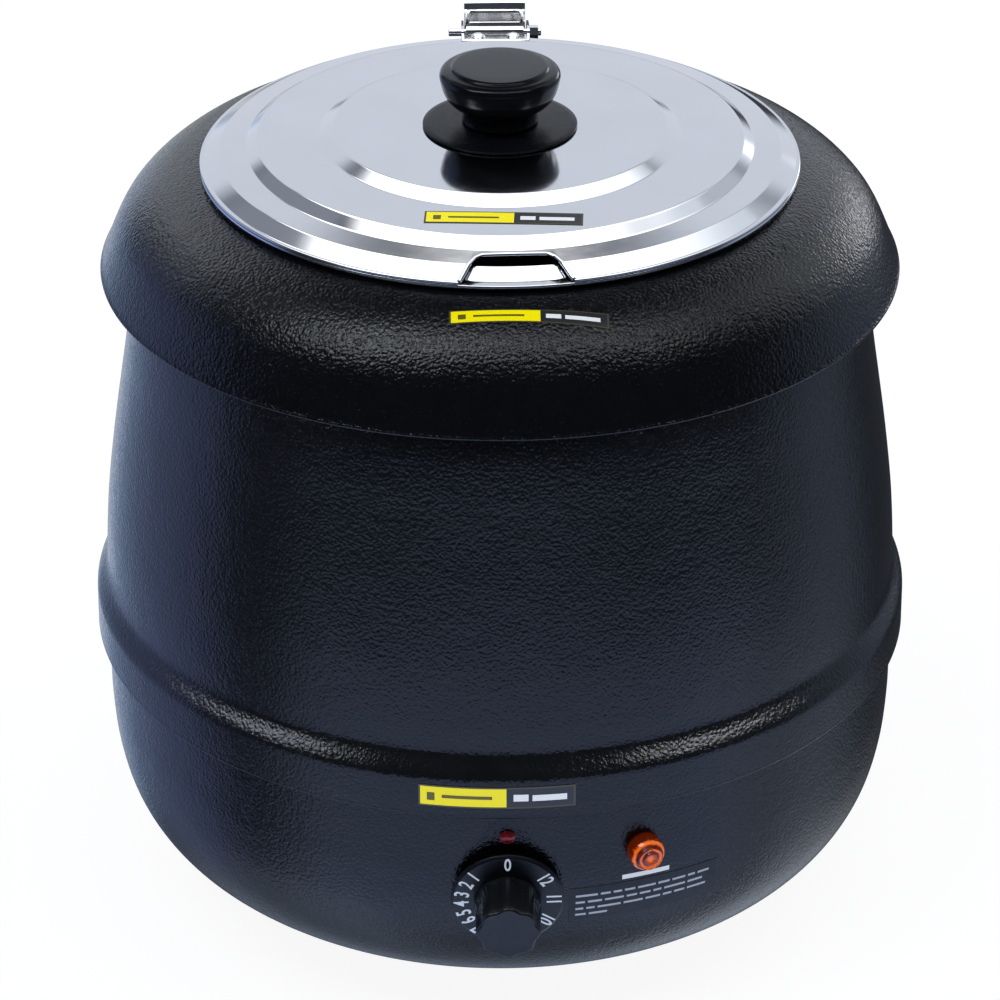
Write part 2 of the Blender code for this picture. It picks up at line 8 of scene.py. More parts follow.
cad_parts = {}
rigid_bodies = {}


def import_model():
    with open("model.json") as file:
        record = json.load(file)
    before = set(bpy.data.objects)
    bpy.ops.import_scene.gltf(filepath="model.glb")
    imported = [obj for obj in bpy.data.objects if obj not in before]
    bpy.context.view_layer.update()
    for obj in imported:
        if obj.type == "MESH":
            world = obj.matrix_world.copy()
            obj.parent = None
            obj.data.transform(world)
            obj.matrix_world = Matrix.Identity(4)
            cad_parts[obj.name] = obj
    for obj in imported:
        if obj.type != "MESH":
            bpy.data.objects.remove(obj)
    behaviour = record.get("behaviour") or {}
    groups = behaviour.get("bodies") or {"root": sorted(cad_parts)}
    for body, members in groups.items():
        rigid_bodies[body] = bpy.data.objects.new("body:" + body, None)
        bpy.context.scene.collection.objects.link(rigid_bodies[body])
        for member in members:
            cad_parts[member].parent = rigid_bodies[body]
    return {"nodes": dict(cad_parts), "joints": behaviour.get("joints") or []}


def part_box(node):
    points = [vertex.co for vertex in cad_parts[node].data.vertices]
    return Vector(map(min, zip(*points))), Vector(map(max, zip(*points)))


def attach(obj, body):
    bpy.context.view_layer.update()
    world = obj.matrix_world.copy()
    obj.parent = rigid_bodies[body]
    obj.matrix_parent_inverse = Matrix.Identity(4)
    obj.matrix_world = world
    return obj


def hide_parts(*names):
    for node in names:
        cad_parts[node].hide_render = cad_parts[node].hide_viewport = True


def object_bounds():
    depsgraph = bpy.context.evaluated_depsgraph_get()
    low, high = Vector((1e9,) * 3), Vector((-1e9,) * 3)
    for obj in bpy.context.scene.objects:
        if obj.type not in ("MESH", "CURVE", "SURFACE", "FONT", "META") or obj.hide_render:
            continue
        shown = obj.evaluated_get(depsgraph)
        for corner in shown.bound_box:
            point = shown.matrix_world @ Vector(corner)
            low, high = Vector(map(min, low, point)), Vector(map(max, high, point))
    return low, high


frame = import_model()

CAD_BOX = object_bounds()
MM = 0.001
BIG = 256          # facets round the big pressings
MED = 96
FINE = 48


# =========================================================================================
# node materials
# =========================================================================================
class Mat:
    """A small wrapper that builds a procedural Principled material."""

    def __init__(self, name):
        self.mat = bpy.data.materials.new(name)
        self.mat.use_nodes = True
        self.tree = self.mat.node_tree
        self.bsdf = self.tree.nodes["Principled BSDF"]
        self.coord = self.tree.nodes.new("ShaderNodeTexCoord").outputs["Object"]

    def node(self, kind, props=None, **inputs):
        n = self.tree.nodes.new(kind)
        for k, v in (props or {}).items():
            setattr(n, k, v)
        for k, v in inputs.items():
            self.put(n.inputs[k.replace("_", " ")], v)
        return n

    def put(self, socket, value):
        if isinstance(value, bpy.types.NodeSocket):
            self.tree.links.new(value, socket)
        elif value is not None:
            socket.default_value = value

    def math(self, op, a, b=None, c=None, clamp=False):
        n = self.tree.nodes.new("ShaderNodeMath")
        n.operation = op
        n.use_clamp = clamp
        for i, v in enumerate((a, b, c)):
            if v is not None:
                self.put(n.inputs[i], v)
        return n.outputs[0]

    def vmath(self, op, a, b=None):
        n = self.tree.nodes.new("ShaderNodeVectorMath")
        n.operation = op
        self.put(n.inputs[0], a)
        if b is not None:
            self.put(n.inputs[1], b)
        return n.outputs["Value"] if op in ("LENGTH", "DOT_PRODUCT") else n.outputs[0]

    def xyz(self, v):
        return self.node("ShaderNodeSeparateXYZ", None, Vector=v).outputs

    def join(self, x, y, z):
        n = self.tree.nodes.new("ShaderNodeCombineXYZ")
        for i, v in enumerate((x, y, z)):
            self.put(n.inputs[i], v)
        return n.outputs[0]

    def noise(self, scale, detail=2.0, rough=0.5, distort=0.0, vector=None):
        n = self.node("ShaderNodeTexNoise", None, Vector=vector or self.coord, Scale=scale,
                      Detail=detail, Roughness=rough, Distortion=distort)
        return n.outputs["Fac"]

    def noise_vec(self, scale, vector=None):
        n = self.node("ShaderNodeTexNoise", None, Vector=vector or self.coord, Scale=scale, Detail=1.0)
        return n.outputs["Color"]

    def voronoi(self, scale, feature="F1", vector=None, smooth=None, out="Distance"):
        n = self.node("ShaderNodeTexVoronoi", {"feature": feature}, Vector=vector or self.coord, Scale=scale)
        if smooth is not None:
            n.inputs["Smoothness"].default_value = smooth
        return n.outputs[out]

    def span(self, value, lo, hi, to_lo, to_hi):
        n = self.node("ShaderNodeMapRange", None, Value=value)
        n.inputs["From Min"].default_value = lo
        n.inputs["From Max"].default_value = hi
        n.inputs["To Min"].default_value = to_lo
        n.inputs["To Max"].default_value = to_hi
        return n.outputs["Result"]

    def mix(self, fac, a, b):
        n = self.tree.nodes.new("ShaderNodeMix")
        n.data_type = "RGBA"
        self.put(n.inputs["Factor"], fac)
        self.put(n.inputs[6], (*a, 1.0) if isinstance(a, tuple) else a)
        self.put(n.inputs[7], (*b, 1.0) if isinstance(b, tuple) else b)
        return n.outputs[2]

    def bump(self, height, strength, distance, normal=None):
        n = self.node("ShaderNodeBump", None, Strength=strength, Distance=distance, Height=height)
        if normal is not None:
            self.put(n.inputs["Normal"], normal)
        return n.outputs["Normal"]

    def set(self, **kw):
        for k, v in kw.items():
            if isinstance(v, tuple) and len(v) == 3:
                v = (*v, 1.0)
            self.put(self.bsdf.inputs[k.replace("_", " ")], v)
        return self


def hammered_paint(name, depth):
    """Gloss black hammer-finish enamel: pebbled skin of 1.5 mm cells over a slow waviness."""
    m = Mat(name)
    warp = m.vmath("SCALE", m.noise_vec(260.0))
    warp.node.inputs["Scale"].default_value = 0.0016
    where = m.vmath("ADD", m.coord, warp)
    cells = m.voronoi(720.0, "SMOOTH_F1", where, 0.5)
    ripple = m.noise(930.0, 2.5, 0.55, 0.4, where)
    slow = m.noise(70.0, 2.0, 0.5)
    height = m.math("ADD", m.math("MULTIPLY", cells, -0.95), m.math("MULTIPLY", ripple, 0.75))
    normal = m.bump(height, 1.0, depth)
    normal = m.bump(slow, 1.0, 0.00022, normal)
    tint = m.mix(m.span(slow, 0.3, 0.7, 0.0, 1.0), (0.0048, 0.0052, 0.0066), (0.0070, 0.0074, 0.0088))
    rough = m.math("ADD", m.span(m.noise(300.0, 2.0), 0.3, 0.7, 0.13, 0.21), m.math("MULTIPLY", cells, 0.05))
    m.set(Base_Color=tint, Roughness=rough, Normal=normal, Metallic=0.0, IOR=1.50)
    return m.mat


def plain_enamel():
    """The enamel where it is thin and smooth, as on hidden flanges and the underside; no piece in this script is given
    it.
    """
    m = Mat("smooth_black_enamel")
    slow = m.noise(120.0, 3.0)
    m.set(Base_Color=m.mix(slow, (0.007, 0.007, 0.008), (0.014, 0.014, 0.016)),
          Roughness=m.span(slow, 0.3, 0.7, 0.25, 0.4), Normal=m.bump(slow, 0.5, 0.0002))
    return m.mat


def polished_steel(name, base, r0, r1, turned=True, wave=0.00005):
    """Polished stainless: concentric buffing lines that only show in the roughness, and a
    very slight pressing waviness."""
    m = Mat(name)
    x, y, z = m.xyz(m.coord)
    if turned:
        radius = m.math("SQRT", m.math("ADD", m.math("MULTIPLY", x, x), m.math("MULTIPLY", y, y)))
        lines = m.noise(1.0, 3.0, 0.6, 0.0, m.join(m.math("MULTIPLY", radius, 5200.0), m.math("MULTIPLY", z, 1500.0), 0.0))
    else:
        lines = m.noise(1.0, 2.0, 0.5, 0.0, m.join(m.math("MULTIPLY", x, 60.0), m.math("MULTIPLY", y, 900.0), m.math("MULTIPLY", z, 900.0)))
    cloud = m.noise(38.0, 3.0, 0.55)
    smear = m.noise(160.0, 4.0, 0.65)
    rough = m.math("ADD", m.span(lines, 0.3, 0.7, r0, r1), m.span(smear, 0.45, 0.75, 0.0, 0.018))
    tone = m.mix(m.span(cloud, 0.3, 0.7, 0.0, 1.0), base, tuple(c * 0.965 for c in base))
    normal = m.bump(cloud, 1.0, wave)
    normal = m.bump(lines, 0.12, 0.000004 if turned else 0.000001, normal)
    m.set(Base_Color=tone, Metallic=1.0, Roughness=rough, Normal=normal)
    return m.mat


def zinc(name="zinc_plate", base=(0.50, 0.52, 0.55)):
    m = Mat(name)
    grain = m.voronoi(900.0, "F1", out="Color")
    fine = m.noise(1400.0, 3.0)
    tone = m.mix(m.math("MULTIPLY", fine, 0.35), base, tuple(c * 0.72 for c in base))
    tone = m.mix(0.06, tone, grain)
    m.set(Base_Color=tone, Metallic=1.0, Roughness=m.span(fine, 0.3, 0.7, 0.28, 0.42), Normal=m.bump(fine, 0.3, 0.00003))
    return m.mat


def moulded(name, base, r0, r1, grain, depth, coat=0.0):
    """Moulded plastic: faint flow clouds, fine grain, slight sink waviness."""
    m = Mat(name)
    cloud = m.noise(55.0, 2.0)
    fine = m.noise(grain, 3.0)
    tone = m.mix(m.span(cloud, 0.3, 0.7, 0.0, 1.0), base, tuple(c * 0.8 for c in base))
    normal = m.bump(fine, 0.6, depth)
    normal = m.bump(cloud, 1.0, 0.00008, normal)
    m.set(Base_Color=tone, Roughness=m.span(m.noise(240.0, 3.0), 0.3, 0.7, r0, r1), Normal=normal, Coat_Weight=coat, Coat_Roughness=0.06)
    return m.mat


def amber(at, axis):
    """Tinted clear cap, lit softly from behind: the light of moulded rings, from orange to dark brown
    across its face, and a bright spot in the middle are painted into its colour as well as its glow."""
    m = Mat("amber_lens_glow")
    away = m.vmath("SUBTRACT", m.coord, tuple(at))
    radial = m.math("MULTIPLY", m.vmath("LENGTH", m.vmath("CROSS_PRODUCT", away, tuple(axis))), 1000.0)
    speck = m.noise(520.0, 3.0, 0.6, 0.8)
    radial = m.math("ADD", radial, m.span(speck, 0.3, 0.7, -0.25, 0.25))
    wave = m.math("COSINE", m.math("MULTIPLY", m.math("SUBTRACT", radial, 6.4), 2.9))
    ring_light = m.span(wave, -0.35, 0.8, 0.0, 1.0)
    spot = m.span(radial, 2.6, 0.6, 0.0, 1.0)
    light = m.math("MAXIMUM", m.math("MULTIPLY", ring_light, m.span(radial, 2.4, 3.6, 0.15, 1.0)), spot, clamp=True)
    # painted light: the ring and spot light is mixed into the base colour, not only into the emission
    m.set(Base_Color=m.mix(light, (0.10, 0.012, 0.003), (0.80, 0.13, 0.008)), Roughness=0.12, IOR=1.49, Coat_Weight=0.6, Coat_Roughness=0.03,
          Emission_Color=m.mix(light, (0.10, 0.008, 0.0), (1.0, 0.16, 0.004)), Emission_Strength=0.62, Normal=m.bump(speck, 0.3, 0.0002))
    return m.mat


def red_enamel():
    m = Mat("red_dot_gloss")
    n = m.noise(500.0, 3.0)
    m.set(Base_Color=m.mix(n, (0.50, 0.006, 0.012), (0.32, 0.004, 0.010)), Roughness=m.span(n, 0.3, 0.7, 0.14, 0.26),
          Normal=m.bump(n, 0.4, 0.0002), Coat_Weight=0.5)
    return m.mat


def print_white(name, base, lift):
    """White ink with a painted glow: a little emission keeps it as pale as ink looks against black."""
    m = Mat(name)
    n = m.noise(2500.0, 3.0)
    tone = m.mix(n, base, tuple(c * 0.75 for c in base))
    # painted light: the ink's tone is also its emission, at strength lift
    m.set(Base_Color=tone, Roughness=0.45, Normal=m.bump(n, 0.3, 0.00002), Emission_Color=tone, Emission_Strength=lift)
    return m.mat


def vinyl(name, split, lines, gloss=1.0):
    """Printed sticker with a painted glow: a yellow field on the left, a dark field on the right, plain bars on
    both. u runs along the sticker, v across it."""
    m = Mat(name)
    uv = m.tree.nodes.new("ShaderNodeTexCoord").outputs["UV"]
    u, v, _ = m.xyz(uv)

    def inside(value, lo, hi):
        a = m.math("GREATER_THAN", value, lo)
        b = m.math("LESS_THAN", value, hi)
        return m.math("MULTIPLY", a, b)

    fine = m.noise(2200.0, 2.0)
    yellow = m.mix(fine, (0.96, 0.85, 0.0), (0.90, 0.78, 0.0))
    dark = m.mix(fine, (0.016, 0.017, 0.021), (0.026, 0.027, 0.031))
    color = m.mix(m.math("GREATER_THAN", u, split), yellow, dark)
    edge = m.math("MULTIPLY", inside(u, 0.012, 0.988), inside(v, 0.07, 0.93))
    color = m.mix(edge, (0.06, 0.055, 0.03), color)
    for (u0, u1, v0, v1, ink) in lines:
        bar = m.math("MULTIPLY", inside(u, u0, u1), inside(v, v0, v1))
        color = m.mix(bar, color, ink)
    # painted light: the sticker's colour is also its emission, a painted glow that keeps it bright
    m.set(Base_Color=color, Roughness=m.span(fine, 0.3, 0.7, 0.24, 0.34), Normal=m.bump(fine, 0.3, 0.00003), Coat_Weight=0.25 * gloss,
          Specular_IOR_Level=0.5 * gloss, Emission_Color=color, Emission_Strength=0.55)
    return m.mat


def mica_board():
    m = Mat("mica_board")
    flakes = m.voronoi(420.0, "F1", out="Color")
    n = m.noise(900.0, 4.0)
    m.set(Base_Color=m.mix(0.12, m.mix(n, (0.52, 0.44, 0.31), (0.38, 0.31, 0.2)), flakes), Roughness=0.55, Normal=m.bump(n, 0.5, 0.0001))
    return m.mat


def drawn_copper():
    m = Mat("drawn_copper")
    n = m.noise(700.0, 4.0, 0.6, 0.3)
    m.set(Base_Color=m.mix(n, (0.72, 0.36, 0.22), (0.48, 0.24, 0.15)), Metallic=1.0, Roughness=m.span(n, 0.3, 0.7, 0.22, 0.42), Normal=m.bump(n, 0.3, 0.00003))
    return m.mat


PAINT = hammered_paint("hammered_black_enamel", 0.00022)
PAINT_BODY = hammered_paint("hammered_black_enamel_thin", 0.00015)
PAINT_IN = plain_enamel()
STEEL_LID = polished_steel("polished_stainless_lid", (0.70, 0.71, 0.735), 0.070, 0.100)
STEEL_POT = polished_steel("polished_stainless_inset", (0.66, 0.67, 0.69), 0.10, 0.17)
STEEL_WELL = polished_steel("satin_stainless_well", (0.56, 0.57, 0.59), 0.24, 0.34)
CHROME = polished_steel("chrome_hinge", (0.84, 0.84, 0.845), 0.10, 0.16, turned=False, wave=0.000008)
ZINC = zinc()
PHENOLIC = moulded("black_phenolic_gloss", (0.0060, 0.0072, 0.0100), 0.15, 0.22, 900.0, 0.00002)
PHENOLIC.node_tree.nodes["Principled BSDF"].inputs["Specular IOR Level"].default_value = 0.31
SATIN = moulded("black_phenolic_satin", (0.0070, 0.0085, 0.0115), 0.22, 0.30, 900.0, 0.00002)
SATIN.node_tree.nodes["Principled BSDF"].inputs["Specular IOR Level"].default_value = 0.17
GRIP = moulded("black_grip_plastic", (0.0105, 0.0125, 0.0165), 0.26, 0.36, 1800.0, 0.00003)
DIAL_MAT = moulded("black_dial_face", (0.0085, 0.0100, 0.0140), 0.30, 0.40, 1800.0, 0.00003)
RUBBER = moulded("black_rubber_skin", (0.016, 0.016, 0.017), 0.55, 0.72, 1500.0, 0.00008)
NYLON = moulded("white_nylon_body", (0.76, 0.76, 0.72), 0.4, 0.55, 1200.0, 0.00003)
RED = red_enamel()
MICA = mica_board()
COPPER = drawn_copper()
# the dial numbers and panel words glow a little: painted light from print_white's emission
NUMERAL = print_white("dial_print", (0.74, 0.82, 0.90), 0.42)
PRINT = print_white("panel_print", (0.60, 0.64, 0.68), 0.26)
TITLE = print_white("panel_title_print", (0.84, 0.86, 0.88), 0.5)
FILM = moulded("clear_film_over_paint", (0.010, 0.011, 0.0135), 0.30, 0.42, 1500.0, 0.00002)


# =========================================================================================
# modelling helpers
# =========================================================================================
def finish(name, mesh, mats, body, replaces=(), sharp=38.0):
    mesh.shade_smooth()
    mesh.set_sharp_from_angle(angle=math.radians(sharp))
    ob = bpy.data.objects.new(name, mesh)
    bpy.context.scene.collection.objects.link(ob)
    for m in mats if isinstance(mats, (list, tuple)) else [mats]:
        if m.name not in [s.name for s in mesh.materials if s]:
            mesh.materials.append(m)
    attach(ob, body)
    if replaces:
        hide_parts(*replaces)
    return ob


def from_bmesh(bm, name, matrix=None):
    """A bmesh in millimetres, optionally placed by a matrix in metres, as a mesh in metres."""
    bmesh.ops.scale(bm, vec=(MM, MM, MM), verts=bm.verts)
    if matrix is not None:
        bmesh.ops.transform(bm, matrix=matrix, verts=bm.verts)
    bmesh.ops.recalc_face_normals(bm, faces=bm.faces)
    mesh = bpy.data.meshes.new(name)
    bm.to_mesh(mesh)
    bm.free()
    return mesh


def spline(points, per=6):
    """Centripetal Catmull-Rom through the points."""
    p = [Vector(q) for q in points]
    p = [p[0] * 2 - p[1]] + p + [p[-1] * 2 - p[-2]]
    out = []
    for i in range(1, len(p) - 2):
        a, b, c, d = p[i - 1:i + 3]
        t0 = 0.0
        t1 = t0 + max((b - a).length, 1e-6) ** 0.5
        t2 = t1 + max((c - b).length, 1e-6) ** 0.5
        t3 = t2 + max((d - c).length, 1e-6) ** 0.5
        for k in range(per):
            t = t1 + (t2 - t1) * k / per
            a1 = a * ((t1 - t) / (t1 - t0)) + b * ((t - t0) / (t1 - t0))
            a2 = b * ((t2 - t) / (t2 - t1)) + c * ((t - t1) / (t2 - t1))
            a3 = c * ((t3 - t) / (t3 - t2)) + d * ((t - t2) / (t3 - t2))
            b1 = a1 * ((t2 - t) / (t2 - t0)) + a2 * ((t - t0) / (t2 - t0))
            b2 = a2 * ((t3 - t) / (t3 - t1)) + a3 * ((t - t1) / (t3 - t1))
            out.append(tuple(b1 * ((t2 - t) / (t2 - t1)) + b2 * ((t - t1) / (t2 - t1))))
    out.append(tuple(p[-2]))
    return out


def fillet(points, radius, steps=5, closed=False):
    """Round the corners of a path. radius is one number or one for each point."""
    n = len(points)
    out = []
    for i, q in enumerate(points):
        r = radius[i] if isinstance(radius, (list, tuple)) else radius
        if r <= 0 or (not closed and i in (0, n - 1)):
            out.append(tuple(q))
            continue
        p, a, b = Vector(q), Vector(points[i - 1]), Vector(points[(i + 1) % n])
        va, vb = a - p, b - p
        la, lb = va.length, vb.length
        cos = max(-1.0, min(1.0, va.dot(vb) / (la * lb)))
        ang = math.acos(cos)
        if ang > math.pi - 0.02 or ang < 0.02:
            out.append(tuple(q))
            continue
        d = min(r / math.tan(ang / 2), la * 0.49, lb * 0.49)
        rr = d * math.tan(ang / 2)
        c = p + (va / la + vb / lb).normalized() * (rr / math.sin(ang / 2))
        s, e = p + va / la * d - c, p + vb / lb * d - c
        a0, a1 = math.atan2(s[1], s[0]), math.atan2(e[1], e[0])
        turn = (a1 - a0 + math.pi) % (2 * math.pi) - math.pi
        for k in range(steps + 1):
            t = a0 + turn * k / steps
            out.append((c[0] + rr * math.cos(t), c[1] + rr * math.sin(t)))
    return out


def inward(path, t):
    """Offset a path run from top to bottom by t to its inner side."""
    out = []
    for i in range(len(path)):
        a, b = Vector(path[max(i - 1, 0)]), Vector(path[min(i + 1, len(path) - 1)])
        d = (b - a).normalized()
        out.append((path[i][0] + d[1] * t, path[i][1] - d[0] * t))
    return out


def ring(centre, radius, a0, a1, steps):
    return [(centre[0] + radius * math.cos(math.radians(a0 + (a1 - a0) * k / steps)),
             centre[1] + radius * math.sin(math.radians(a0 + (a1 - a0) * k / steps))) for k in range(steps + 1)]


def turned(path, seg=BIG, closed=False, phase=0.0):
    """Spin a path of (radius, height) about Z. A point on the axis becomes one vertex."""
    bm = bmesh.new()
    rows = []
    for r, z in path:
        if r < 1e-6:
            rows.append([bm.verts.new((0, 0, z))])
        else:
            rows.append([bm.verts.new((r * math.cos(2 * math.pi * i / seg + phase), r * math.sin(2 * math.pi * i / seg + phase), z))
                         for i in range(seg)])
    pairs = list(zip(rows, rows[1:]))
    if closed:
        pairs.append((rows[-1], rows[0]))
    for a, b in pairs:
        if len(a) == 1 and len(b) == 1:
            continue
        for i in range(seg):
            j = (i + 1) % seg
            if len(a) == 1:
                bm.faces.new((a[0], b[i], b[j]))
            elif len(b) == 1:
                bm.faces.new((a[i], b[0], a[j]))
            else:
                bm.faces.new((a[i], b[i], b[j], a[j]))
    return bm


def fitted(path, node, keep="top"):
    """Scale a turned path's radius, and shift its height, onto a CAD node's box."""
    lo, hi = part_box(node)
    reach = max(p[0] for p in path)
    k = (hi.x - lo.x) / 2 / MM / reach
    if keep == "top":
        dz = hi.z / MM - max(p[1] for p in path)
    else:
        dz = lo.z / MM - min(p[1] for p in path)
    return [(r * k, z + dz) for r, z in path]


def local_fit(path, node, matrix, seg_axis="Z"):
    """Scale a path's radius onto a CAD node that is turned about its own tilted axis."""
    ob = frame["nodes"][node]
    inv = matrix.inverted()
    reach = max((inv @ v.co).xy.length for v in ob.data.vertices) / MM
    k = reach / max(p[0] for p in path)
    return [(r * k, z) for r, z in path]


def plate(outline, x0, x1, bevel=0.0, segments=2):
    """Extrude a closed (y, z) outline from x0 to x1, with small bevels round both faces."""
    bm = bmesh.new()
    face = bm.faces.new([bm.verts.new((x0, a, b)) for a, b in outline])
    out = bmesh.ops.extrude_face_region(bm, geom=[face])
    moved = [v for v in out["geom"] if isinstance(v, bmesh.types.BMVert)]
    bmesh.ops.translate(bm, vec=(x1 - x0, 0, 0), verts=moved)
    if bevel:
        ends = [e for e in bm.edges if abs(e.verts[0].co.x - e.verts[1].co.x) < 1e-6]
        bmesh.ops.bevel(bm, geom=ends, offset=bevel, segments=segments, profile=0.5, affect="EDGES", clamp_overlap=True)
    return bm


def boolean(ob, other, op="DIFFERENCE"):
    """Apply one exact boolean to ob's mesh; other is thrown away."""
    mod = ob.modifiers.new("cut", "BOOLEAN")
    mod.operation = op
    mod.solver = "EXACT"
    mod.object = other
    bpy.context.view_layer.update()
    dg = bpy.context.evaluated_depsgraph_get()
    new = bpy.data.meshes.new_from_object(ob.evaluated_get(dg))
    old = ob.data
    ob.modifiers.clear()
    new.name = old.name
    ob.data = new
    bpy.data.objects.remove(other, do_unlink=True)
    return ob


def tool(bm, matrix=None):
    mesh = from_bmesh(bm, "tool", matrix)
    ob = bpy.data.objects.new("tool", mesh)
    bpy.context.scene.collection.objects.link(ob)
    return ob


def loose(bm, name, matrix=None):
    """An object that is not yet a piece of the kettle, for booleans."""
    ob = bpy.data.objects.new(name, from_bmesh(bm, name, matrix))
    bpy.context.scene.collection.objects.link(ob)
    return ob


def sweep(points, radius, sides=14, closed=False, caps=True, squash=1.0):
    """A round bead along a 3-D path. radius may be one number or one for each point."""
    bm = bmesh.new()
    pts = [Vector(p) for p in points]
    n = len(pts)
    rings_ = []
    last = None
    for i, p in enumerate(pts):
        a, b = pts[max(i - 1, 0)], pts[min(i + 1, n - 1)]
        if closed:
            a, b = pts[i - 1], pts[(i + 1) % n]
        t = (b - a).normalized()
        if last is None:
            ref = Vector((0, 0, 1)) if abs(t.z) < 0.9 else Vector((1, 0, 0))
        else:
            ref = last
        side = t.cross(ref).normalized()
        up = side.cross(t).normalized()
        last = up
        r = radius[i] if isinstance(radius, (list, tuple)) else radius
        rings_.append([bm.verts.new(p + side * (r * math.cos(2 * math.pi * k / sides)) + up * (r * squash * math.sin(2 * math.pi * k / sides)))
                       for k in range(sides)])
    pairs = list(zip(rings_, rings_[1:]))
    if closed:
        pairs.append((rings_[-1], rings_[0]))
    for a, b in pairs:
        for k in range(sides):
            j = (k + 1) % sides
            bm.faces.new((a[k], a[j], b[j], b[k]))
    if caps and not closed:
        bm.faces.new(rings_[0][::-1])
        bm.faces.new(rings_[-1])
    return bm


def axis_frame(origin, z, x=Vector((1, 0, 0))):
    """A matrix in metres whose local +Z is z and whose local +X is as near x as it can be."""
    z = Vector(z).normalized()
    x = (Vector(x) - z * Vector(x).dot(z)).normalized()
    y = z.cross(x)
    m = Matrix((x, y, z)).transposed().to_4x4()
    m.translation = Vector(origin)
    return m


def centre(node):
    lo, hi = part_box(node)
    return (lo + hi) / 2


def joint(name):
    return next(j for j in frame["joints"] if j["name"] == name)


# =========================================================================================
# painted shell
# =========================================================================================
COLLAR = spline([(120.0, 316.5), (122.5, 316.15), (125.5, 315.5), (129.0, 314.45), (133.5, 312.75), (138.0, 310.4), (141.5, 308.1),
                 (144.6, 305.7), (147.6, 303.0), (150.5, 299.9), (153.4, 296.1), (156.2, 291.1), (159.2, 284.3), (162.0, 277.6)], 6)
lip = [(117.9, 304.4), (117.6, 305.0), (117.6, 316.6), (117.9, 317.3), (118.4, 317.6), (118.9, 317.5), (119.4, 316.9)]
edge = ring((162.05, 276.3), 0.75, 55, -150, 8)
under = inward(COLLAR, 1.6)
collar = lip + COLLAR + edge + under[:2:-1] + [(119.4, 314.2), (119.0, 312.0), (119.0, 304.6), (118.5, 304.2)]
finish("collar_skin", from_bmesh(turned(fitted(collar, "collar_ring"), BIG, True), "collar_skin"), PAINT, "shell",
       ("collar_ring",))

wall = spline([(139.6, 295.9), (142.3, 288.0), (147.1, 274.0), (150.5, 262.0), (153.0, 249.0), (155.1, 236.0), (157.1, 224.0), (161.1, 199.0), (164.5, 173.0),
               (166.1, 152.0), (166.4, 142.5)], 6)
step = [(166.4 + 4.95 * (lambda s: s * s * (3 - 2 * s))(k / 14), 141.0 - 11.8 * k / 14) for k in range(1, 15)]
skirt = [(171.4, 127.5), (171.5, 122.0), (171.6, 115.0)]
hem = ring((170.85, 113.8), 0.8, 25, -160, 7)
inside = [(168.9, 116.0), (168.8, 128.0), (165.6, 133.5), (164.4, 140.0)] + [(r - 1.8, z) for r, z in wall[::-6]]
body = [(130.0, 295.9), (138.4, 296.0)] + wall + step + skirt + hem + inside[:-1] + [(137.8, 294.4), (130.0, 294.4)]
finish("body_skin", from_bmesh(turned(fitted(body, "body_shell"), BIG, True), "body_skin"), PAINT_BODY, "shell", ("body_shell",))

BOWL = spline([(167.0, 126.6), (167.3, 110.0), (167.4, 92.0), (167.3, 80.0), (165.9, 62.0), (162.2, 46.0), (156.3, 34.0), (148.7, 25.0),
               (137.5, 17.0), (121.0, 10.6), (106.0, 8.35), (96.0, 8.3), (88.0, 8.3)], 6)
bowl_in = inward(BOWL, 1.6)
bowl = loose(turned(fitted(BOWL + bowl_in[::-1], "base_bowl"), BIG, True, 0.004), "base_bowl_skin")

# the dial frame: origin on the thermostat's axis, local +Z out of the kettle, +Y up its face
turn_joint = joint("thermostat_turn")
DIAL = axis_frame(turn_joint["pos_m"], -Vector(turn_joint["axis"]))
lens_at = centre("pilot_lamp_lens")
LAMP_TURN = math.atan2(lens_at.x, -lens_at.y)
lamp_out = Matrix.Rotation(LAMP_TURN, 4, "Z") @ Vector((0, -math.cos(math.radians(2.0)), -math.sin(math.radians(2.0))))
nut_at = centre("pilot_lamp_nut")
LAMP = axis_frame(lens_at - lamp_out * (lens_at - nut_at).length * 0.5, lamp_out, Matrix.Rotation(LAMP_TURN, 4, "Z") @ Vector((1, 0, 0)))
# the lens box centre is at local height (0.9 + 9.6) / 2 and the nut's at (-7.5 - 3.0) / 2, so
# the point half way between them is the seat on the bowl
gland_lo, gland_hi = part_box("cord_gland")
GLAND = axis_frame((0, gland_hi.y - 9.4 * MM, (gland_lo.z + gland_hi.z) / 2), (0, 1, 0), (1, 0, 0))


def disc(r, z0, z1, seg=40):
    return turned([(0, z1), (r, z1), (r, z0), (0, z0)], seg)


boolean(bowl, tool(disc(5.6, -8, 8), DIAL))
boolean(bowl, tool(disc(6.1, -8, 8), LAMP))
boolean(bowl, tool(disc(7.6, -10, 10), GLAND))
bowl_mesh = bowl.data
bpy.data.objects.remove(bowl, do_unlink=True)
finish("base_bowl_skin", bowl_mesh, PAINT_BODY, "shell", ("base_bowl",), 32.0)

# =========================================================================================
# underside: feet
# =========================================================================================
for i in range(1, 5):
    c = centre(f"foot_{i}")
    at = Matrix.Translation((c.x, c.y, 0.0))
    foot = fillet([(11.0, 6.5), (10.7, 4.6), (9.6, 1.0), (9.0, 0.0), (5.6, 0.0), (5.2, 0.6), (5.2, 3.4), (2.4, 3.4), (2.4, 6.5)],
                  [0.4, 1.0, 0.8, 0.5, 0.3, 0.3, 0.3, 0.1, 0.1], 3, True)
    ribs = turned(foot, FINE, True)
    for v in ribs.verts:
        r = v.co.xy.length
        if r > 9.8 and 1.4 < v.co.z < 6.0:
            a = math.atan2(v.co.y, v.co.x)
            v.co.xy *= 1.0 - 0.018 * (0.5 + 0.5 * math.cos(24 * a))
    finish(f"rubber_foot_{i}", from_bmesh(ribs, f"rubber_foot_{i}", at), RUBBER, "shell", (f"foot_{i}",))


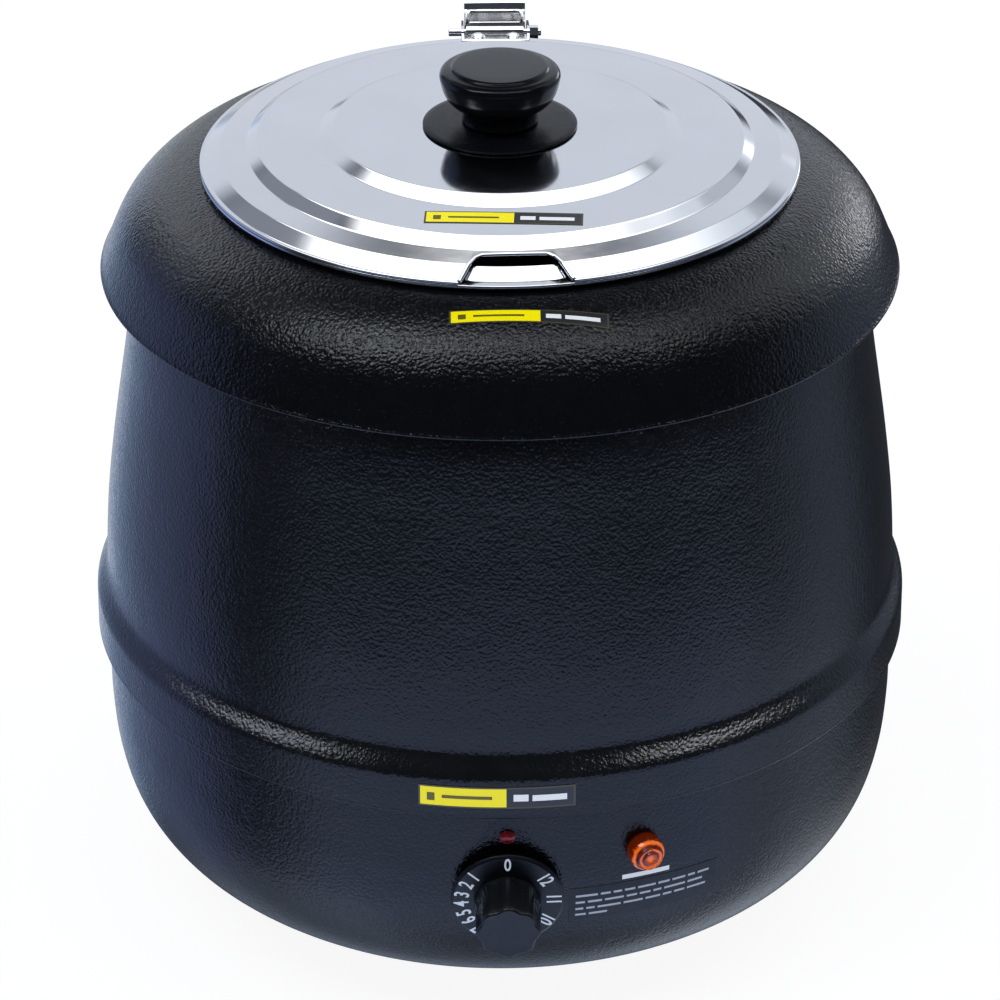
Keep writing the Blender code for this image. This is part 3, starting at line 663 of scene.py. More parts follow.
def pan_screw(name, node, head_r, head_h, shank, body, mat, matrix):
    """A pan-head screw with a cross recess, its head up along local +Z from z 0."""
    head = fillet([(0, head_h), (head_r * 0.72, head_h * 0.93), (head_r, head_h * 0.35), (head_r, 0), (shank[0], 0), (shank[0], -shank[1]),
                   (shank[0] * 0.7, -shank[1] - 0.6), (0, -shank[1] - 0.6)], [0, head_h * 0.9, head_h * 0.25, 0.1, 0.1, 0.2, 0.1, 0], 4)
    ob = loose(turned(head, 32), name, matrix)
    for turn in (0.0, 90.0):
        bm = bmesh.new()
        bmesh.ops.create_cube(bm, size=1.0)
        bmesh.ops.scale(bm, vec=(head_r * 1.15, head_r * 0.22, head_h * 0.8), verts=bm.verts)
        bmesh.ops.translate(bm, vec=(0, 0, head_h), verts=bm.verts)
        bmesh.ops.rotate(bm, cent=(0, 0, 0), matrix=Matrix.Rotation(math.radians(turn + 11), 3, "Z"), verts=bm.verts)
        boolean(ob, tool(bm, matrix))
    mesh = ob.data
    bpy.data.objects.remove(ob, do_unlink=True)
    finish(name, mesh, mat, body, (node,), 30.0)


for i in range(1, 5):
    lo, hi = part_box(f"foot_screw_{i}")
    c = (lo + hi) / 2
    pan_screw(f"foot_screw_{i}_fine", f"foot_screw_{i}", 4.2, 1.9, (2.0, 11.9), "shell", ZINC,
              axis_frame((c.x, c.y, lo.z + 1.9 * MM), (0, 0, -1)))
    lo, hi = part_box(f"base_screw_{i}")
    c = (lo + hi) / 2
    pan_screw(f"base_screw_{i}_fine", f"base_screw_{i}", 3.2, 1.7, (1.7, 9.9), "shell", ZINC,
              axis_frame((c.x, c.y, lo.z + 1.7 * MM), (0, 0, -1)))

# =========================================================================================
# water well and inset
# =========================================================================================
well = fillet([(0, 74.0), (108.0, 74.0), (118.0, 78.0), (121.0, 86.0), (121.0, 230.0), (120.2, 232.0), (121.0, 234.0), (121.0, 298.3), (137.0, 298.3),
               (137.0, 297.3), (122.0, 297.3), (122.0, 85.8), (118.7, 77.1), (108.2, 73.0), (0, 73.0)],
              [0, 14, 8, 8, 1.5, 1.5, 1.5, 1.6, 0.3, 0.3, 0.6, 8, 8, 14, 0], 6)
finish("water_well_fine", from_bmesh(turned(fitted(well, "water_well"), BIG), "water_well_fine"), STEEL_WELL, "shell", ("water_well",))

pot_path = fillet([(0, 83.0), (92.0, 83.0), (103.6, 88.6), (108.5, 100.0), (108.5, 321.0), (109.8, 322.6), (111.2, 322.1), (116.4, 319.2), (120.7, 319.2),
                   (121.0, 318.5), (120.7, 317.9), (116.2, 317.9), (110.8, 320.7), (109.5, 319.6), (109.5, 99.8), (104.2, 87.8), (92.2, 82.0), (0, 82.0)],
                  [0, 16, 12, 12, 1.0, 0.9, 0.8, 2.2, 0.4, 0.4, 0.4, 1.4, 0.8, 0.6, 12, 12, 16, 0], 6)
finish("soup_pot_fine", from_bmesh(turned(fitted(pot_path, "soup_pot"), BIG), "soup_pot_fine"), STEEL_POT, "inset", ("soup_pot",))

# =========================================================================================
# lid
# =========================================================================================
lid_top = fillet([(2.7, 333.0), (67.0, 333.0), (73.0, 329.95), (97.6, 329.4), (102.6, 325.9), (112.8, 324.5), (119.2, 320.9), (119.9, 320.65)],
                 [0, 3.2, 3.0, 2.6, 2.4, 2.2, 1.4, 0], 7)
bead = ring((120.3, 320.0), 0.7, 100, -130, 9)
lid_under = inward(lid_top, 0.9)[:-4]
lid_path = lid_top + bead + [(119.4, 319.75)] + lid_under[::-1]
lid_path = fitted(lid_path, "lid")
lid = loose(turned(lid_path, 320, True, 0.003), "lid_fine")

NOTCH_TURN = math.radians(2.0)
notch = fillet([(-26.4, -126.0), (-15.3, -107.2), (-12.6, -105.2), (12.6, -105.2), (15.3, -107.2), (26.4, -126.0)], [0, 3.0, 3.0, 3.0, 3.0, 0], 6)
bm = bmesh.new()
low = bm.faces.new([bm.verts.new((x, y, 312.0)) for x, y in notch])
out = bmesh.ops.extrude_face_region(bm, geom=[low])
bmesh.ops.translate(bm, vec=(0, 0, 24.0), verts=[v for v in out["geom"] if isinstance(v, bmesh.types.BMVert)])
boolean(lid, tool(bm, Matrix.Rotation(NOTCH_TURN, 4, "Z")))
for i in (1, 2):
    c = centre(f"bracket_rivet_{i}")
    boolean(lid, tool(disc(1.9, -8, 8, 24), Matrix.Translation(c)))
lid_mesh = lid.data
bpy.data.objects.remove(lid, do_unlink=True)
finish("lid_fine", lid_mesh, STEEL_LID, "lid", ("lid",), 40.0)


def height_on(path, r):
    """Height of a turned path's upper face at radius r."""
    best = None
    for a, b in zip(path, path[1:]):
        if min(a[0], b[0]) <= r <= max(a[0], b[0]) and abs(a[0] - b[0]) > 1e-9:
            t = (r - a[0]) / (b[0] - a[0])
            z = a[1] + (b[1] - a[1]) * t
            best = z if best is None else max(best, z)
    return best


# rolled hem round the notch, following the lid's surface out to the rim bead
edge_line = []
dense = []
for a, b in zip(notch, notch[1:]):
    n = max(1, int((Vector(b) - Vector(a)).length / 0.5))
    dense += [Vector(a).lerp(Vector(b), k / n) for k in range(n)]
dense.append(Vector(notch[-1]))
for p in dense:
    if p.length <= 120.35:
        z = height_on(lid_path, p.length)
        edge_line.append((p.x, p.y, z - 0.28))
hem_bm = sweep(edge_line, 0.85, 16)
finish("lid_notch_hem", from_bmesh(hem_bm, "lid_notch_hem", Matrix.Rotation(NOTCH_TURN, 4, "Z")), STEEL_LID, "lid", ())

disc_path = fillet([(2.7, 335.0), (14.0, 334.95), (20.0, 334.85), (29.0, 334.5), (31.1, 334.1), (31.1, 333.45), (30.6, 333.3), (2.7, 333.3)],
                   [0, 4, 4, 3, 0.35, 0.25, 0.2, 0], 4, True)
finish("knob_disc_fine", from_bmesh(turned(fitted(disc_path, "knob_disc"), 128, True), "knob_disc_fine"), SATIN, "lid", ("knob_disc",))

cap = spline([(15.3, 335.7), (15.0, 337.5), (15.05, 339.6), (15.6, 341.0), (17.6, 342.1), (19.8, 343.7), (21.7, 345.9), (22.9, 348.4), (23.7, 351.3), (24.2, 353.6),
              (24.3, 354.6), (24.0, 355.7), (23.3, 356.6), (22.3, 357.15), (21.2, 357.4)], 6)
crown = spline([(20.3, 357.5), (19.7, 357.75), (19.2, 358.3), (18.5, 358.65), (17.4, 358.75)], 5)
cap = [(0, 350.0), (2.4, 349.0), (2.4, 335.3), (14.9, 335.3)] + cap + crown + [(12.0, 358.8), (5.0, 358.8), (0.0, 358.8)]
finish("lid_knob_fine", from_bmesh(turned(fitted(cap, "lid_knob"), 128), "lid_knob_fine"), PHENOLIC, "lid", ("lid_knob",), 50.0)

wash = fillet([(8.0, 331.8), (8.0, 330.7), (2.5, 330.7), (2.5, 331.8)], 0.25, 3, True)
finish("knob_washer_fine", from_bmesh(turned(fitted(wash, "knob_washer"), FINE, True), "knob_washer_fine"), ZINC, "lid", ("knob_washer",))
lo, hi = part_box("knob_screw")
pan_screw("knob_screw_fine", "knob_screw", 4.4, 3.0, (2.0, 17.4), "lid", ZINC, axis_frame((0, 0, lo.z + 3.0 * MM), (0, 0, -1)))

# =========================================================================================
# hinge
# =========================================================================================
hinge = joint("lid_hinge")["pos_m"]
PIN = axis_frame(hinge, (1, 0, 0), (0, 0, 1))     # local +Z along the pin, local +X up
PY, PZ = hinge[1] / MM, hinge[2] / MM


def strip(line, t, radius):
    """Outline of a sheet strip of thickness t bent along a centre line."""
    line = fillet(line, radius, 6)
    left = inward(line, -t / 2)
    right = inward(line, t / 2)
    return left + right[::-1]


leaf_lo, leaf_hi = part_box("hinge_leaf")
leaf_base = leaf_hi.z / MM - 332.4
leaf = strip([(120.2, 317.15), (123.4, 317.12), (133.2, 314.0), (135.2, 314.6), (135.2, 328.6), (136.0, 330.9), (138.0, 331.9), (140.0, 330.9), (140.9, 328.9), (140.9, 326.8)],
             0.88, [0, 3.0, 1.2, 1.4, 1.5, 1.5, 1.6, 1.5, 1.5, 0])
half = (leaf_hi.x - leaf_lo.x) / 2 / MM
bm = plate([(y, z + leaf_base) for y, z in leaf], -half, half, 0.18)
finish("hinge_leaf_fine", from_bmesh(bm, "hinge_leaf_fine"), CHROME, "inset", ("hinge_leaf",), 30.0)

barrel = loose(turned(fillet([(2.8, -12.5), (2.8, 12.5), (2.05, 12.5), (2.05, -12.5)], [0.3, 0.3, 0.12, 0.12], 3, True), FINE, True, 0.01), "hinge_barrel_fine", PIN)
tail = strip([(128.6, 322.95), (133.4, 322.95), (133.95, 327.4)], 0.9, [0, 0.8, 0])
boolean(barrel, loose(plate(tail, -11.0, 11.0, 0.12), "tail"), "UNION")
dimple = axis_frame((0, hinge[1] - 1.85 * MM, hinge[2] + 2.15 * MM), (0, -0.62, 0.78))
boolean(barrel, tool(turned([(0, -0.2), (0.9, 0.55), (1.25, 1.6), (0, 1.6)], 24), dimple))
mesh = barrel.data
bpy.data.objects.remove(barrel, do_unlink=True)
finish("hinge_barrel_fine", mesh, CHROME, "inset", ("hinge_barrel",), 30.0)

ear = spline([(104.2, 326.3), (108.0, 325.75), (112.4, 325.05), (116.4, 323.2), (119.8, 321.8), (122.0, 321.0), (123.3, 318.6), (125.2, 316.9), (127.2, 316.3), (129.3, 316.9),
              (131.1, 318.5), (131.9, 321.0), (131.2, 323.5), (129.3, 325.6), (126.6, 326.5), (120.0, 328.1), (112.0, 330.5), (106.0, 331.3), (104.4, 330.6), (104.1, 328.4)], 4)
bracket = loose(plate([(104.0, 326.15), (112.4, 325.0), (112.5, 325.95), (104.1, 327.1)], -14.3, 14.3, 0.12), "lid_hinge_bracket_fine")
for s in (-1, 1):
    boolean(bracket, loose(plate(ear, 14.0 * s - 0.5, 14.0 * s + 0.5, 0.14), "ear"), "UNION")
boolean(bracket, tool(disc(1.9, -30, 30, 32), PIN))
for i in (1, 2):
    boolean(bracket, tool(disc(1.9, -8, 8, 24), Matrix.Translation(centre(f"bracket_rivet_{i}"))))
mesh = bracket.data
bpy.data.objects.remove(bracket, do_unlink=True)
finish("lid_hinge_bracket_fine", mesh, CHROME, "lid", ("lid_hinge_bracket",), 30.0)

for i in (1, 2):
    c = centre(f"bracket_rivet_{i}")
    rivet = spline([(0, 3.2), (1.4, 3.0), (2.5, 2.4), (3.0, 1.8)], 4) + [(1.5, 1.75), (1.5, -1.25)] + spline([(3.0, -1.3), (2.4, -1.9), (1.2, -2.3), (0, -2.4)], 4)
    tilt = axis_frame(c - Vector((0, 0.05, 0.4)) * MM, (0, -0.14, 0.99))
    finish(f"bracket_rivet_{i}_fine", from_bmesh(turned(rivet, 32), f"bracket_rivet_{i}_fine", tilt), CHROME, "lid", (f"bracket_rivet_{i}",))

pin = fillet([(0, 20.0), (1.35, 20.0), (1.6, 19.7), (1.6, -19.7), (1.35, -20.0), (0, -20.0)], [0, 0.15, 0.15, 0.15, 0.15, 0], 3)
finish("hinge_pin_fine", from_bmesh(turned(pin, 40), "hinge_pin_fine", PIN), CHROME, "lid", ("hinge_pin",))


def hex_nut(r_out, r_in, z0, z1):
    """A hexagon nut with its corners turned off on both faces."""
    bm = bmesh.new()
    n = 48
    rows = []
    for z, lim in ((z0, 0.93), (z0 + 0.18 * (z1 - z0), 1.0), (z1 - 0.18 * (z1 - z0), 1.0), (z1, 0.93)):
        row = []
        for i in range(n):
            a = 2 * math.pi * i / n
            flat = r_out * math.cos(math.pi / 6) / math.cos((a + math.pi / 6) % (math.pi / 3) - math.pi / 6)
            r = min(flat, r_out * lim)
            row.append(bm.verts.new((r * math.cos(a), r * math.sin(a), z)))
        rows.append(row)
    bore = [[bm.verts.new((r_in * math.cos(2 * math.pi * i / n), r_in * math.sin(2 * math.pi * i / n), z)) for i in range(n)] for z in (z0, z1)]
    loop = [bore[0]] + rows + [bore[1]]
    for a, b in list(zip(loop, loop[1:])) + [(loop[-1], loop[0])]:
        for i in range(n):
            j = (i + 1) % n
            bm.faces.new((a[i], a[j], b[j], b[i]))
    return bm


lo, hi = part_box("hinge_pin_nut")
finish("hinge_pin_nut_fine", from_bmesh(hex_nut(3.1, 1.7, lo.x / MM, hi.x / MM), "hinge_pin_nut_fine", PIN), CHROME, "lid", ("hinge_pin_nut",), 25.0)

# =========================================================================================
# controls
# =========================================================================================
skirt_path = fillet([(10.2, 4.6), (21.3, 4.6), (22.5, 3.7), (22.5, 2.8), (22.2, 2.7), (10.2, 2.7)], [0.1, 0.8, 0.5, 0.2, 0.1, 0.1], 5, True)
skirt_path = local_fit(skirt_path, "dial_skirt", DIAL)
finish("dial_skirt_fine", from_bmesh(turned(skirt_path, 128, True), "dial_skirt_fine", DIAL), DIAL_MAT, "thermostat_knob", ("dial_skirt",))

bm = bmesh.new()
rows = []
N = 8 * 24
levels = [(4.9, 0.985, 0.45), (5.3, 1.0, 0.5), (6.4, 1.0, 0.85), (8.0, 0.998, 1.0), (12.0, 0.99, 1.0), (17.0, 0.978, 1.0), (21.0, 0.968, 1.0), (23.0, 0.958, 1.0), (23.7, 0.948, 1.0),
          (24.15, 0.928, 1.0), (24.37, 0.902, 1.0), (24.4, 0.872, 0.95), (24.35, 0.84, 0.85), (24.3, 0.6, 0.5), (24.3, 0.3, 0.15)]
for z, k, d in levels:
    row = []
    for i in range(N):
        a = 2 * math.pi * i / N
        s = 0.5 - 0.5 * math.cos(8 * a)
        r = 13.2 * k - 1.05 * d * s ** 1.3
        row.append(bm.verts.new((r * math.sin(a), r * math.cos(a), z)))
    rows.append(row)
for a, b in zip(rows, rows[1:]):
    for i in range(N):
        j = (i + 1) % N
        bm.faces.new((a[i], b[i], b[j], a[j]))
tip = bm.verts.new((0, 0, 24.3))
for i in range(N):
    bm.faces.new((rows[-1][i], tip, rows[-1][(i + 1) % N]))
bore = [[bm.verts.new((3.4 * math.sin(2 * math.pi * i / N), 3.4 * math.cos(2 * math.pi * i / N), z)) for i in range(N)] for z in (4.9, 17.0)]
for a, b in ((bore[0], rows[0]), (bore[1], bore[0])):
    for i in range(N):
        j = (i + 1) % N
        bm.faces.new((a[i], b[i], b[j], a[j]))
bm.faces.new(bore[1])
finish("control_knob_fine", from_bmesh(bm, "control_knob_fine", DIAL), GRIP, "thermostat_knob", ("control_knob",), 50.0)
shaft = fillet([(0, 16.5), (2.7, 16.5), (3.0, 16.1), (3.0, -11.0), (0, -11.0)], [0, 0.2, 0.2, 0.1, 0], 3)
finish("thermostat_shaft_fine", from_bmesh(turned(shaft, 40), "thermostat_shaft_fine", DIAL), ZINC, "thermostat_knob", ("thermostat_shaft",))

MARKS = [("0", 0), ("1", -47), ("2", -63), ("3", -79), ("4", -94), ("5", -109), ("6", -123), ("7", -139), ("8", -172), ("9", 155), ("10", 122), ("11", 88), ("12", 54)]
for label, angle in MARKS:
    cu = bpy.data.curves.new("mark", "FONT")
    cu.body = label
    cu.size = 8.4 * MM
    cu.align_x, cu.align_y = "CENTER", "CENTER"
    cu.extrude = 0.05 * MM
    cu.offset = 0.12 * MM
    cu.resolution_u = 6
    cu.space_character = 0.92
    ob = bpy.data.objects.new("mark", cu)
    bpy.context.scene.collection.objects.link(ob)
    bpy.context.view_layer.update()
    mesh = bpy.data.meshes.new_from_object(ob.evaluated_get(bpy.context.evaluated_depsgraph_get()))
    bpy.data.objects.remove(ob, do_unlink=True)
    a = math.radians(angle)
    place = DIAL @ Matrix.Translation((18.1 * MM * math.sin(a), 18.1 * MM * math.cos(a), 4.66 * MM)) @ Matrix.Rotation(-a, 4, "Z") @ Matrix.Diagonal((0.68, 1.0, 1.0, 1.0))
    mesh.transform(place)
    mesh.name = f"dial_number_{label}"
    mesh.materials.clear()
    finish(f"dial_number_{label}", mesh, NUMERAL, "thermostat_knob", (), 30.0)

dot_lo, dot_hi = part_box("index_dot")
DOT = axis_frame(((dot_lo.x + dot_hi.x) / 2, dot_hi.y + 0.3 * MM, (dot_lo.z + dot_hi.z) / 2), (0, -1, 0))
dome = spline([(0, 1.9), (1.2, 1.78), (2.2, 1.35), (2.9, 0.8), (3.3, 0.3)], 5) + [(3.3, 0.1), (0, 0.1)]
finish("index_dot_fine", from_bmesh(turned(dome, 48), "index_dot_fine", DOT), RED, "shell", ("index_dot",), 60.0)

# the lamp cap: a stepped crown with rings in its face, clear inside
AMBER = amber(LAMP.translation, lamp_out)
lens = fillet([(0, 8.9), (1.6, 8.9), (2.1, 9.5), (3.0, 9.5), (3.4, 8.7), (4.2, 8.6), (4.7, 9.2), (5.4, 9.0), (5.8, 7.6), (6.7, 7.0), (7.3, 5.8), (7.6, 4.4), (7.6, 1.2), (7.3, 0.9),
               (6.7, 0.9), (6.5, 1.2), (6.5, 4.4), (5.2, 6.4), (3.0, 7.4), (0, 7.6)],
              [0, 0.3, 0.3, 0.4, 0.3, 0.3, 0.3, 0.4, 0.4, 0.5, 0.6, 0.5, 0.2, 0.2, 0.1, 0.2, 0.5, 0.8, 0.5, 0], 4)
lens_mesh = from_bmesh(turned(local_fit(lens, "pilot_lamp_lens", LAMP), 64), "pilot_lamp_lens_fine", LAMP)
finish("pilot_lamp_lens_fine", lens_mesh, AMBER, "shell", ("pilot_lamp_lens",), 34.0)

# =========================================================================================
# cord
# =========================================================================================
gland = fillet([(10.6, 1.4), (10.6, 3.6), (9.8, 4.1), (6.9, 4.5), (6.4, 5.4), (6.3, 6.2), (5.7, 6.5), (5.7, 7.2), (6.0, 7.5), (6.0, 8.0), (5.3, 8.3), (5.3, 9.0), (5.0, 9.4), (3.7, 9.4),
                (3.7, -6.0), (7.0, -6.0), (7.2, 1.4)], [0.2, 0.5, 0.5, 0.6, 0.2, 0.2, 0.15, 0.15, 0.15, 0.15, 0.15, 0.2, 0.2, 0.3, 0.2, 0.3, 0.2], 4, True)
finish("cord_gland_fine", from_bmesh(turned(gland, 64, True), "cord_gland_fine", GLAND), GRIP, "shell", ("cord_gland",))

cord_lo, cord_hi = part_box("power_cord")
drop = cord_hi.y / MM - 3.2
cz = (gland_lo.z + gland_hi.z) / 2 / MM
run = [(0, 79.0, 15.0), (0, 88.0, 16.5), (0, 104.0, 24.0), (0, 118.0, 36.0), (0, 130.0, 48.0), (0, 140.0, 56.5), (0, 150.0, cz), (0, 165.0, cz), (0, drop - 12.0, cz)]
run += [(0, drop - 12.0 + 12.0 * math.sin(math.radians(a)), cz - 12.0 + 12.0 * math.cos(math.radians(a))) for a in (22, 45, 68, 90)]
run += [(0, drop, 32.0), (0.15, drop, 18.0)]
run += [(12.0 - 12.0 * math.cos(math.radians(a)), drop - 0.1, 16.2 - 12.2 * math.sin(math.radians(a))) for a in (28, 50, 72)]
run += [((drop - 0.4) * math.sin(math.radians(a)), (drop - 0.4) * math.cos(math.radians(a)), 3.75) for a in (5, 8, 12, 16, 20, 24, 29, 33, 38)]
smooth = spline(run, 8)
finish("power_cord_fine", from_bmesh(sweep(smooth, 3.2, 28), "power_cord_fine"), RUBBER, "shell", ("power_cord",), 50.0)


# =========================================================================================
# stickers and printed panel
# =========================================================================================
def patch(name, path, lift, t, turn, sweep_deg, mat, body, replaces, nu=48, nv=4):
    """A thin curved patch on a turned face. path is the face, top to bottom."""
    pts = []
    for k in range(nv + 1):
        f = k / nv * (len(path) - 1)
        i = min(int(f), len(path) - 2)
        pts.append(Vector(path[i]).lerp(Vector(path[i + 1]), f - i))
    pts = [tuple(p) for p in pts]
    top = inward(pts, -(lift + t))
    low = inward(pts, -lift)
    bm = bmesh.new()
    uv = bm.loops.layers.uv.new("UVMap")
    a0 = math.radians(-90 + turn - sweep_deg / 2)
    grid = {}
    for side, prof in ((1, top), (0, low)):
        for i in range(nu + 1):
            a = a0 + math.radians(sweep_deg) * i / nu
            for k, (r, z) in enumerate(prof):
                grid[side, i, k] = bm.verts.new((r * math.cos(a), r * math.sin(a), z))
    where = {v: (key[1] / nu, 1 - key[2] / nv) for key, v in grid.items()}
    for i in range(nu):
        for k in range(nv):
            bm.faces.new((grid[1, i, k], grid[1, i, k + 1], grid[1, i + 1, k + 1], grid[1, i + 1, k]))
            bm.faces.new((grid[0, i, k], grid[0, i + 1, k], grid[0, i + 1, k + 1], grid[0, i, k + 1]))
    for i in range(nu):
        for k in (0, nv):
            bm.faces.new((grid[1, i, k], grid[1, i + 1, k], grid[0, i + 1, k], grid[0, i, k]))
    for k in range(nv):
        for i in (0, nu):
            bm.faces.new((grid[1, i, k], grid[1, i, k + 1], grid[0, i, k + 1], grid[0, i, k]))
    for f in bm.faces:
        for lp in f.loops:
            lp[uv].uv = where[lp.vert]
    return finish(name, from_bmesh(bm, name), mat, body, replaces, 30.0)


INK, PALE = (0.12, 0.10, 0.01), (0.80, 0.82, 0.84)
LABEL_BARS = [(0.055, 0.105, 0.28, 0.66, INK), (0.15, 0.47, 0.42, 0.58, INK), (0.605, 0.70, 0.34, 0.66, PALE), (0.725, 0.945, 0.34, 0.62, PALE)]
VINYL_LID = vinyl("label_on_lid", 0.565, LABEL_BARS, 0.25)
VINYL_COLLAR = vinyl("label_on_collar", 0.57, LABEL_BARS, 0.4)
VINYL_SKIRT = vinyl("label_on_skirt", 0.56, LABEL_BARS)


def band_on(path, r0, r1):
    """The part of a turned path between two radii, top to bottom."""
    pts = [p for p in path if r0 < p[0] < r1]
    return [(r0, height_on(path, r0))] + pts + [(r1, height_on(path, r1))]


def spread(node):
    """Mid angle from -Y and sweep, in degrees, of a patch that the CAD lays on the front."""
    ob = frame["nodes"][node]
    angles = [math.degrees(math.atan2(v.co.x, -v.co.y)) for v in ob.data.vertices]
    return (min(angles) + max(angles)) / 2, max(angles) - min(angles)


def reach(node):
    radii = [v.co.xy.length / MM for v in frame["nodes"][node].data.vertices]
    return min(radii), max(radii)


collar_outer = fitted(collar, "collar_ring")[len(lip):len(lip) + len(COLLAR)]


def strip_label(name, face, node, mat, body, lift=0.08, t=0.14, nu=60, nv=6):
    """A straight printed strip draped over a turned face, laid where the CAD strip lies."""
    pts = [v.co.xy / MM for v in frame["nodes"][node].data.vertices]
    mid = sum(pts, Vector((0.0, 0.0))) / len(pts)
    far = max(pts, key=lambda q: (q - mid).length)
    # the long sides run along the direction in which the strip is longest
    best = max((math.radians(k * 0.25) for k in range(-60, 61)),
               key=lambda a: -(max(q.dot(Vector((-math.sin(a), math.cos(a)))) for q in pts) - min(q.dot(Vector((-math.sin(a), math.cos(a)))) for q in pts)))
    ux, uy = Vector((math.cos(best), math.sin(best))), Vector((-math.sin(best), math.cos(best)))
    w = max((q - mid).dot(ux) for q in pts) * 2
    h = max((q - mid).dot(uy) for q in pts) * 2
    bm = bmesh.new()
    uv = bm.loops.layers.uv.new("UVMap")
    grid, where = {}, {}
    for i in range(nu + 1):
        for j in range(nv + 1):
            q = mid + ux * w * (i / nu - 0.5) + uy * h * (j / nv - 0.5)
            z = height_on(face, q.length)
            for side in (0, 1):
                v = bm.verts.new((q.x, q.y, z + lift + t * side))
                grid[side, i, j] = v
                where[v] = (i / nu, j / nv)
    for i in range(nu):
        for j in range(nv):
            bm.faces.new((grid[1, i, j], grid[1, i + 1, j], grid[1, i + 1, j + 1], grid[1, i, j + 1]))
            bm.faces.new((grid[0, i, j + 1], grid[0, i + 1, j + 1], grid[0, i + 1, j], grid[0, i, j]))
    rim = [(i, 0) for i in range(nu)] + [(nu, j) for j in range(nv)] + [(i, nv) for i in range(nu, 0, -1)] + [(0, j) for j in range(nv, 0, -1)]
    for k, a in enumerate(rim):
        b = rim[(k + 1) % len(rim)]
        bm.faces.new((grid[0, a[0], a[1]], grid[0, b[0], b[1]], grid[1, b[0], b[1]], grid[1, a[0], a[1]]))
    for f in bm.faces:
        for lp in f.loops:
            lp[uv].uv = where[lp.vert]
    return finish(name, from_bmesh(bm, name), mat, body, (node,), 30.0)


strip_label("lid_label_fine", lid_path, "lid_label", VINYL_LID, "lid")
strip_label("collar_label_fine", collar_outer, "collar_label", VINYL_COLLAR, "shell", 0.12)
turn, sweep_deg = spread("skirt_label")
lo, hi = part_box("skirt_label")
k = (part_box("body_shell")[1].x / MM) / 171.65
patch("skirt_label_fine", [(171.45 * k, hi.z / MM - 0.3), (171.6 * k, lo.z / MM + 0.3)], 0.10, 0.15, turn, sweep_deg, VINYL_SKIRT, "shell", ("skirt_label",))


def bowl_radius(z):
    for (ra, za), (rb, zb) in zip(BOWL, BOWL[1:]):
        if zb <= z <= za:
            return rb + (ra - rb) * (z - zb) / (za - zb)
    return BOWL[0][0]


def bowl_band(z0, z1, n=4):
    return [(bowl_radius(z1 + (z0 - z1) * k / n), z1 + (z0 - z1) * k / n) for k in range(n + 1)]


patch("panel_film", bowl_band(58.8, 75.2), 0.03, 0.08, 19.5, 22.0, FILM, "shell", ())
words = [("panel_bar_1", 77.8, 2.1, 15.9, [6.9]),
         ("panel_bar_2", 71.2, 1.0, 9.4, [3.1, 1.4, 1.2, 1.5, 2.6, 1.7, 2.0, 1.1, 1.8]),
         ("panel_bar_3", 68.0, 1.0, 9.4, [1.3, 2.0, 2.7, 1.5, 1.6, 1.2, 3.2, 2.3]),
         ("panel_bar_4", 64.8, 1.0, 9.4, [1.1, 1.2, 3.3, 2.8, 2.2, 1.3, 1.6, 2.9]),
         ("panel_bar_5", 61.8, 1.0, 9.4, [1.5, 2.6])]
for name, z, h, a, lengths in words:
    for i, long in enumerate(lengths):
        patch(f"{name}_{i + 1}", bowl_band(z - h / 2, z + h / 2, 1), 0.12, 0.06, a + long / 2, long, TITLE if h > 2 else PRINT, "shell", (), 12, 1)
        a += long + 0.42

# =========================================================================================
# CAD nodes that stay: hidden hardware gets its finish here
# =========================================================================================
STAY = {
    "base_plate": ZINC, "heating_element": MICA, "element_clamp_plate": ZINC, "well_stud": ZINC, "clamp_nut": ZINC,
    "thermal_cutout": PHENOLIC, "thermostat_body": PHENOLIC, "capillary_tube": COPPER, "thermostat_bulb": COPPER,
    "pilot_lamp_body": NYLON, "pilot_lamp_nut": ZINC, "terminal_block": NYLON, "thermostat_screw_1": ZINC, "thermostat_screw_2": ZINC,
    "collar_clip_1": ZINC, "collar_clip_2": ZINC, "collar_clip_3": ZINC, "collar_clip_4": ZINC,
}
for name, ob in frame["nodes"].items():
    if ob.hide_render:
        continue
    ob.data.materials.clear()
    ob.data.materials.append(STAY.get(name, ZINC))

# =========================================================================================
# studio
# =========================================================================================
scene = bpy.context.scene
scene.view_settings.view_transform = "Standard"
scene.view_settings.look = "None"
scene.view_settings.exposure = 0.0
scene.view_settings.gamma = 1.0

world = bpy.data.worlds.new("studio")
scene.world = world
world.use_nodes = True
wt = world.node_tree
wt.nodes.clear()


def wn(kind, **props):
    n = wt.nodes.new(kind)
    for k, v in props.items():
        setattr(n, k, v)
    return n


def wm(op, a, b=None, clamp=False):
    n = wt.nodes.new("ShaderNodeMath")
    n.operation = op
    n.use_clamp = clamp
    for i, v in enumerate((a, b)):
        if isinstance(v, bpy.types.NodeSocket):
            wt.links.new(v, n.inputs[i])
        elif v is not None:
            n.inputs[i].default_value = v
    return n.outputs[0]


direction = wn("ShaderNodeTexCoord").outputs["Generated"]
sep = wn("ShaderNodeSeparateXYZ")
wt.links.new(direction, sep.inputs[0])
DX, DY, DZ = sep.outputs
AZ = wm("MULTIPLY", wm("ARCTAN2", DX, DY), 180 / math.pi)      # 0 at the back, + to the right
EL = wm("MULTIPLY", wm("ARCSINE", DZ), 180 / math.pi)


def ramp(value, lo, hi):
    """0 below lo, 1 above hi, smooth between."""
    n = wn("ShaderNodeMapRange", interpolation_type="SMOOTHSTEP")
    wt.links.new(value, n.inputs["Value"])
    n.inputs["From Min"].default_value = lo
    n.inputs["From Max"].default_value = hi
    return n.outputs["Result"]


